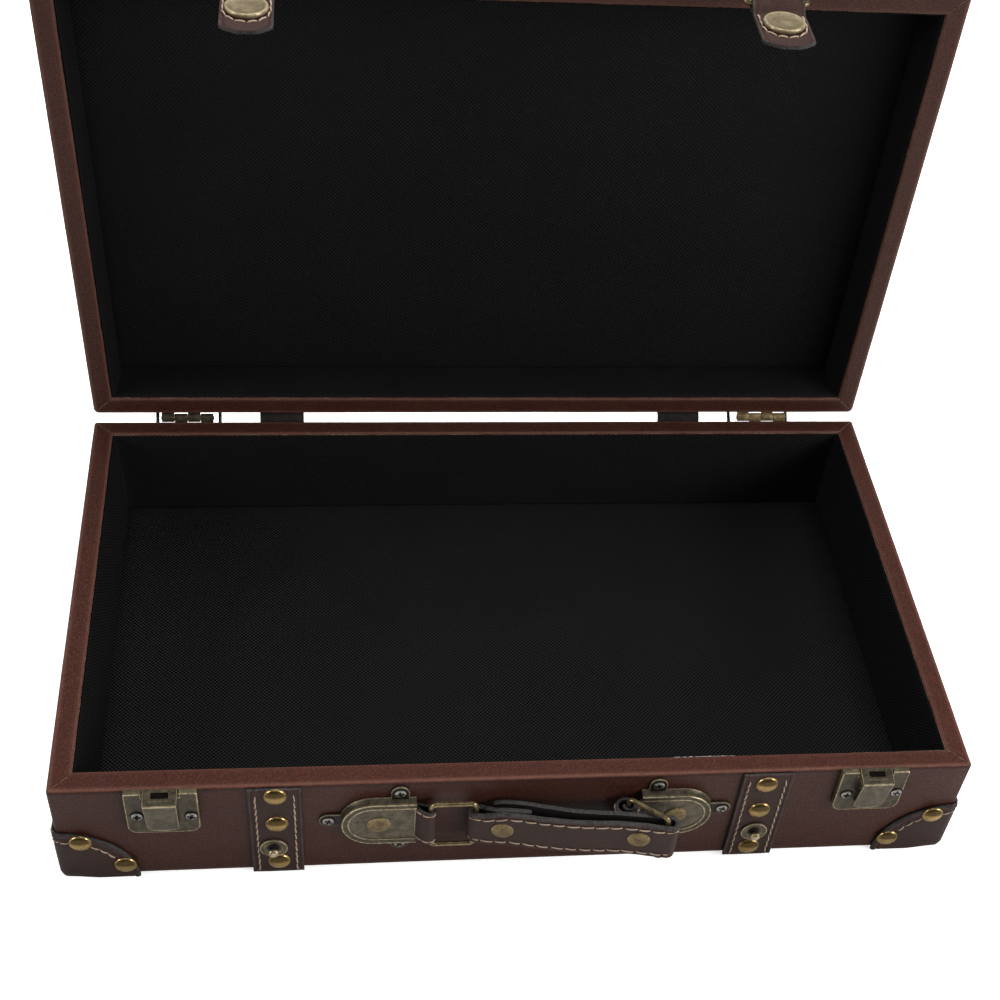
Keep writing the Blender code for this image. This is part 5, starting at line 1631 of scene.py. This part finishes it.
        # knuckle and its web
        knuckle = arc(5.4 * MM, 57.0 * MM, 1.7 * MM, 60, 420, 16)[:-1]
        rows = [[front(x + d * MM, u, v) for u, v in knuckle] for d in (-4.9, 4.9)]
        inner = [[front(x + d * MM, 5.4 * MM + (u - 5.4 * MM) * 0.62, 57.0 * MM + (v - 57.0 * MM) * 0.62)
                  for u, v in knuckle] for d in (4.9, -4.9)]
        form.grid([rows[0], rows[1], inner[0], inner[1]], 0, wrap=True, close=True)
        web = [(4.9 * MM, 58.4 * MM), (5.9 * MM, 58.4 * MM), (6.6 * MM, 61.3 * MM), (5.4 * MM, 61.3 * MM)]
        slab(form, web, [(0, -4.5 * MM, 0), (0, 4.5 * MM, 0)], lambda u, v, h: front(x + h, u, v))
        lever = make("latch_lever_metal_" + side, form, [PLATE, WORN, RECESS_SHADE, DARKPLATE], "latch_lever_" + side, 34,
                     "latch_lever_" + side)
        mod = lever.modifiers.new("round", "BEVEL")
        mod.width = 0.30 * MM
        mod.segments = 2
        mod.limit_method = "ANGLE"
        mod.angle_limit = rad(50)
        mod.material = 1
        softened("lid_hook_" + side, [PLATE, WORN], "lid", 0.2)
        for s, z in (((-10.5, 47.3), (11.9, 46.5)) if side == "left" else ((-10.6, 46.9), (12.2, 47.2))):
            place = front(x + s * MM, 3.0 * MM, z * MM)
            # painted shadow: a dark ring under each screw head
            lathe(screws, [(0, 0.12 * MM), (2.6 * MM, 0.12 * MM), (3.0 * MM, 0.06 * MM), (3.0 * MM, 0), (0, 0)],
                  place, (0, -1, 0), 24, 1)
            screw(screws, place + Vector((0, -0.05 * MM, 0)), (0, -1, 0), 2.45, 0.5 + s * 0.13, height=1.1)
    make("latch_screws", screws, [SCREW, RECESS_SHADE], "base", 40)


def build_hinges():
    for side in ("left", "right"):
        tone = DARKPLATE if side == "left" else HINGEGOLD
        softened("hinge_leaf_base_" + side, [tone, GOLD], "base", 0.15)
        softened("hinge_leaf_lid_" + side, [tone, GOLD], "lid", 0.15)
        softened("hinge_pin_" + side, [STAYWIRE, SCREW], "base", 0.12)
        wire = softened("hinge_stay_" + side, [STAYWIRE], "hinge_stay_" + side, 0.02)
        thicker = wire.modifiers.new("thicker", "DISPLACE")
        thicker.strength = 0.32 * MM
        thicker.mid_level = 0.0


def d_outline(s, grow=0.0):
    r = CASE_R + grow
    centre = CASE_TIP - CASE_R
    pts = [(CASE_END - grow, -r)] + [(centre * (k / 4) + CASE_END * (1 - k / 4), -r) for k in (1, 2, 3)]
    pts += arc(centre, 0, r, -90, 90, 26) + [(centre * (k / 4) + CASE_END * (1 - k / 4), r) for k in (3, 2, 1)]
    pts += [(CASE_END - grow, r)]
    return [(s * u, v) for u, v in pts]


def build_casing(side, s):
    z = HANDLE_Z
    at = on_front(HANDLE_X, z)
    centre = CASE_TIP - CASE_R
    form = Form()
    # sloping outer wall, open towards the handle
    run = []
    for k in range(5):
        u = CASE_END + (centre - CASE_END) * k / 4
        run.append((u, -CASE_R, 0, 1))
    for k in range(1, 26):
        a = rad(-90 + 180 * k / 26)
        run.append((centre + CASE_R * math.cos(a), CASE_R * math.sin(a), -math.cos(a), -math.sin(a)))
    for k in range(4, -1, -1):
        u = CASE_END + (centre - CASE_END) * k / 4
        run.append((u, CASE_R, 0, -1))
    run = [(s * u, v, s * iu, iv) for u, v, iu, iv in run]
    prof = [(-0.75, 0.30, 0.1), (-0.70, 0.55, 0.3), (-0.35, 1.0, 0.0), (0.05, 2.2, 0.0), (0.15, 2.9, 0.0),
            (0.25, 3.25, 0.2), (0.55, 3.42, 0.0), (1.1, 3.42, 0.0), (1.1, 0.30, 0.0)]
    wall(form, run, [(d * MM, h * MM, e) for d, h, e in prof], at)
    # lugs, their tops darkened inside with painted shade to look like pockets
    spots = [(CASE_TIP + 5.6 * MM, 0.0, 5.6), (56.1 * MM, 18.3 * MM, 4.4), (56.1 * MM, -18.3 * MM, 4.4)]
    for lx, lz, reach in spots:
        spin = (0.0 if s > 0 else math.pi) if lz == 0 else math.copysign(math.pi / 2, lz)
        c, n = math.cos(spin), math.sin(spin)
        outline = arc(0, 0, 4.0 * MM, -90, 90, 16) + [(-(reach + 0.4) * MM, 4.0 * MM), (-(reach + 0.4) * MM, -4.0 * MM)]
        outline = [(s * lx + u * c - v * n, lz + u * n + v * c) for u, v in outline]
        slab(form, outline, [(0, 0.3 * MM, 0), (0, 0.90 * MM, 0.1), (0.08 * MM, 1.1 * MM, 0.6),
                             (0.25 * MM, 1.2 * MM, 0.4), (0.50 * MM, 1.18 * MM, -0.5), (0.9 * MM, 1.18 * MM, -0.75)], at)
    make("handle_casing_metal_" + side, form, [DARKPLATE, RECESS_SHADE], "base", 36,
         "handle_casing_" + side)
    # cover with two raised beads and a flush rivet
    form = Form()
    slab(form, d_outline(s), [(0.40 * MM, 3.46 * MM, 0), (0.28 * MM, 3.55 * MM, 0.1), (0.28 * MM, 3.80 * MM, 0.4),
                              (0.45 * MM, 3.90 * MM, 0.6), (0.8 * MM, 3.90 * MM, 0.0)], at, 0)
    border = [(0.0, 3.60, 0), (-0.10, 3.85, 0.2), (-0.02, 4.20, 0.7), (0.16, 4.40, 1.0), (0.42, 4.40, 0.6),
              (0.72, 4.26, 0.0), (1.3, 4.10, 0.0), (2.1, 4.04, 0.0), (2.5, 4.14, 0.1), (2.75, 4.32, 0.8),
              (2.98, 4.36, 1.0), (3.2, 4.24, 0.4), (3.4, 4.02, 0.0), (3.6, 3.86, 0.0), (3.6, 3.60, 0.0)]
    wall(form, run, [(d * MM, h * MM, e) for d, h, e in border], at, 1)
    make("handle_cover_metal_" + side, form, [PLATE, DARKPLATE], "base", 38,
         "handle_cover_" + side)
    form = Form()
    spot = front(HANDLE_X + s * 65.2 * MM, 3.86 * MM, z)
    lathe(form, [(0, 0.75 * MM), (2.5 * MM, 0.74 * MM), (4.3 * MM, 0.66 * MM), (5.0 * MM, 0.5 * MM),
                 (5.3 * MM, 0.2 * MM), (5.35 * MM, -0.2 * MM), (0, -0.2 * MM)], spot, (0, -1, 0), 34, 0,
          [0.0, 0.1, 0.3, 0.6, 0.3, 0, 0])
    # painted shadow: a dark ring round the rivet's edge
    lathe(form, [(5.3 * MM, 0.02 * MM), (5.75 * MM, 0.03 * MM), (5.85 * MM, 0.0), (5.3 * MM, -0.1 * MM)], spot,
          (0, -1, 0), 34, 1)
    make("handle_rivet_" + side, form, [BRONZE, RECESS_SHADE], "base", 36)
    screws = Form()
    for (lx, lz, reach), spin in zip(spots, (0.3, 1.1, 0.7)):
        if lz < 0:
            spin = 0.2
        place = front(HANDLE_X + s * lx, 1.14 * MM, z + lz)
        # painted shadow: a dark ring under each screw head
        lathe(screws, [(0, 0.10 * MM), (2.75 * MM, 0.10 * MM), (3.15 * MM, 0.05 * MM), (3.15 * MM, -0.05 * MM),
                       (0, -0.05 * MM)], place, (0, -1, 0), 24, 1)
        screw(screws, place + Vector((0, -0.05 * MM, 0)), (0, -1, 0), 2.45, spin, height=1.0)
    make("handle_screws_" + side, screws, [SCREW, RECESS_SHADE], "base", 40)


def build_tab(side, s):
    """Leather folded round the ring's inner bar, stitched along both sides."""
    z = HANDLE_Z
    bx, bs = RING_PIVOT, RING_S
    t = 1.35 * MM
    r = 1.35 * MM + t / 2
    if side == "left":
        path = flow([(58 * MM, 2.35 * MM), (53 * MM, 2.4 * MM), (CASE_END + 0.5 * MM, 2.75 * MM),
                     (CASE_END - 1.2 * MM, 4.3 * MM), (bx + 3.0 * MM, 6.35 * MM)], 5)[:-1]
        path += arc(bx + 0.5 * MM, bs, r + 0.1 * MM, 62, 262, 22)
        path += flow([(bx + 2.6 * MM, 2.1 * MM), (bx + 5.5 * MM, 1.25 * MM), (53 * MM, 1.0 * MM), (57 * MM, 1.0 * MM)], 4)
    else:
        # wound loosely, so its end shows as a roll
        path = flow([(58 * MM, 2.35 * MM), (53 * MM, 2.4 * MM), (CASE_END + 0.3 * MM, 2.8 * MM),
                     (CASE_END - 1.0 * MM, 5.2 * MM)], 5)[:-1]
        big = 4.7 * MM
        turns = []
        for k in range(44):
            a = 20 + 520 * k / 43
            share = min(1.0, (k / 43) ** 1.1)
            q = big - (big - r) * share
            off = 1 - share
            turns.append((bx + (0.2 - 1.7 * off) * MM + q * 1.06 * math.cos(rad(a)),
                          bs + (0.15 + 0.75 * off) * MM + q * math.sin(rad(a))))
        path += turns
    half = 10.9 * MM
    pts = [front(HANDLE_X + s * u, v, z) for u, v in path]
    form = Form()
    sect = section(half, t, 1.5 * MM, crown=0.04, r=0.34)
    flip = [(a, -h, e, m) for a, h, e, m in sect]
    ribbon(form, pts, (0, 0, 1), flip if s < 0 else sect, m_back=2)
    make("handle_tab_leather_" + side, form, [LEATHER, EDGE, FLESH], "base", 42, "handle_tab_" + side)
    st = Form()
    keep = [p for p in pts if abs(p.x - HANDLE_X) < CASE_END + 0.8 * MM][:24 if side == "left" else 22]
    dense = spaced(keep, 0.5 * MM)
    for e in (-1, 1):
        run = []
        for i, p in enumerate(dense):
            tt = (dense[min(i + 1, len(dense) - 1)] - dense[max(i - 1, 0)]).normalized()
            nn = Vector((0, 0, 1)).cross(tt).normalized()
            if side == "left":
                nn = -nn
            run.append((p + nn * (t / 2 + 0.02 * MM) + Vector((0, 0, e * 9.4 * MM)), nn))
        seam(st, run, 3.6 * MM, 2.9 * MM, 0.32 * MM, 0.15 * MM * e)
    make("handle_tab_stitches_" + side, st, THREAD, "base", 60)


def build_rings():
    for side, s in (("left", -1), ("right", 1)):
        place = front(HANDLE_X + s * RING_PIVOT, RING_S, HANDLE_Z)
        c = 2.5 * MM
        w, h = RING_W, RING_H / 2
        loop = []
        for cx, cz, a0 in ((w - c, -h + c, -90), (w - c, h - c, 0), (c, h - c, 90), (c, -h + c, 180)):
            loop += arc(cx, cz, c, a0, a0 + 90, 8)
        pts = []
        for (u0, v0), (u1, v1) in zip(loop, loop[1:] + loop[:1]):
            n = max(1, int(math.hypot(u1 - u0, v1 - v0) / (2.0 * MM)))
            pts += [(u0 + (u1 - u0) * k / n, v0 + (v1 - v0) * k / n) for k in range(n)]
        form = Form()
        tube(form, [place + Vector((u, 0, v)) for u, v in pts], RING_R, 16, closed=True, edge=0.35)
        if s > 0:
            form.turn(RIGHT_TURN)
        make("handle_ring_metal_" + side, form, WIREGOLD, "handle_ring_" + side, 60,
             "handle_ring_" + side)


def build_grip():
    L, t = GRIP_LENGTH, GRIP_T
    r = 1.5 * MM + t / 2
    rr = 1.8 * MM + t / 2
    slack = 2.4 * MM
    path = flow([(23 * MM, 1.0 * MM), (17 * MM, 0.95 * MM), (11 * MM, 0.7 * MM), (5 * MM, -1.1 * MM),
                 (2 * MM, -2.35 * MM)], 4)[:-1]
    path += arc(0, 0, r, -90, -270, 20)
    path += flow([(5 * MM, 2.85 * MM), (16 * MM, 3.5 * MM), (30 * MM, 3.95 * MM), (48 * MM, 3.7 * MM),
                  (L - 14 * MM, 2.95 * MM), (L - 5 * MM, 2.85 * MM)], 8)
    front_to = len(path)
    path += arc(L + slack, 0, rr, 90, -90, 20)
    path += flow([(L - 4.0 * MM, -2.70 * MM), (L - 9 * MM, -2.45 * MM), (66 * MM, -2.05 * MM),
                  (56 * MM, -1.90 * MM), (46 * MM, -1.95 * MM), (36 * MM, -2.35 * MM),
                  (26 * MM, -2.95 * MM), (17 * MM, -3.35 * MM), (8.5 * MM, -3.55 * MM)], 5)

    def lift(u):
        """How far the strap stands above its ring's middle, along its length."""
        marks = [(-4, 0.2), (4, 0.4), (9, 1.4), (14, 2.7), (20, 2.7), (30, 2.1), (42, 1.6), (52, 1.9),
                 (62, 2.5), (72, 2.0), (80, 1.2), (90, 0.9)]
        u = u / MM
        for (u0, w0), (u1, w1) in zip(marks, marks[1:]):
            if u <= u1:
                t = min(max((u - u0) / (u1 - u0), 0.0), 1.0)
                t = t * t * (3 - 2 * t)
                return (w0 + (w1 - w0) * t) * MM
        return marks[-1][1] * MM

    pts = [GRIP_START + Vector((u, -v, lift(u))) for u, v in path]

    def taper(u):
        q = min(max(u / (17 * MM), 0.0), 1.0)
        return 0.90 + 0.12 * q * q * (3 - 2 * q)

    form = Form()
    sect = section(GRIP_W / 2, t, 1.7 * MM, channels=(-7.9 * MM, 7.9 * MM), crown=0.10, r=0.5)
    ribbon(form, pts, (0, 0, 1), [(a, -h, e, m) for a, h, e, m in sect], [taper(u) for u, v in path], m_back=2)
    form.turn(GRIP_TURN)
    make("handle_grip_leather", form, [LEATHER, EDGE, FLESH], "handle_grip", 42, "handle_grip")
    # seams over the front layer and round the right end
    st = Form()
    dense = spaced(pts[25:front_to + 12], 0.8 * MM)
    for e in (-1, 1):
        run = []
        for i, p in enumerate(dense):
            tt = (dense[min(i + 1, len(dense) - 1)] - dense[max(i - 1, 0)]).normalized()
            nn = -Vector((0, 0, 1)).cross(tt).normalized()
            share = taper(p.x - GRIP_START.x)
            run.append((p + nn * (t / 2 + 0.06 * MM) + Vector((0, 0, e * 8.1 * MM * share)), nn))
        seam(st, run, 6.2 * MM, 5.3 * MM, 0.33 * MM, 0.40 * MM * e)
    st.turn(GRIP_TURN)
    make("handle_grip_stitches", st, THREAD, "handle_grip", 60)
    rv = Form()
    for u in (12.0, 71.2):
        v = 3.3 if u < 30 else 2.95
        at = GRIP_START + Vector((u * MM, -(v * MM + t / 2 + 0.05 * MM), lift(u * MM) + (0.3 if u < 30 else 1.2) * MM))
        lathe(rv, [(0, 0.62 * MM), (2.5 * MM, 0.60 * MM), (4.2 * MM, 0.52 * MM), (4.75 * MM, 0.36 * MM),
                   (5.0 * MM, 0.1 * MM), (5.0 * MM, -0.1 * MM), (0, -0.1 * MM)], at, (0, -1, 0), 34, 0,
              [0.0, 0.1, 0.2, 0.5, 0.3, 0, 0])
    rv.turn(GRIP_TURN)
    make("handle_grip_rivets", rv, BRONZE, "handle_grip", 36)


def build_handle():
    for side, s in (("left", -1), ("right", 1)):
        build_casing(side, s)
        build_tab(side, s)
    build_rings()
    build_grip()


def build_hidden():
    for name, ob in NODES.items():
        if "wall_" in name or "board" in name:
            ob.data.materials.clear()
            ob.data.materials.append(PLY)
    ob = NODES["base_underside_sheet"]
    ob.data.materials.clear()
    ob.data.materials.append(SKIN_LOOK)


look_and_light()
build_hidden()
build_skins()
build_lining()
build_patches()
build_base_straps()
build_studs()
build_frays()
build_lid_straps()
build_bridges()
build_closures()
build_latches()
build_hinges()
build_handle()
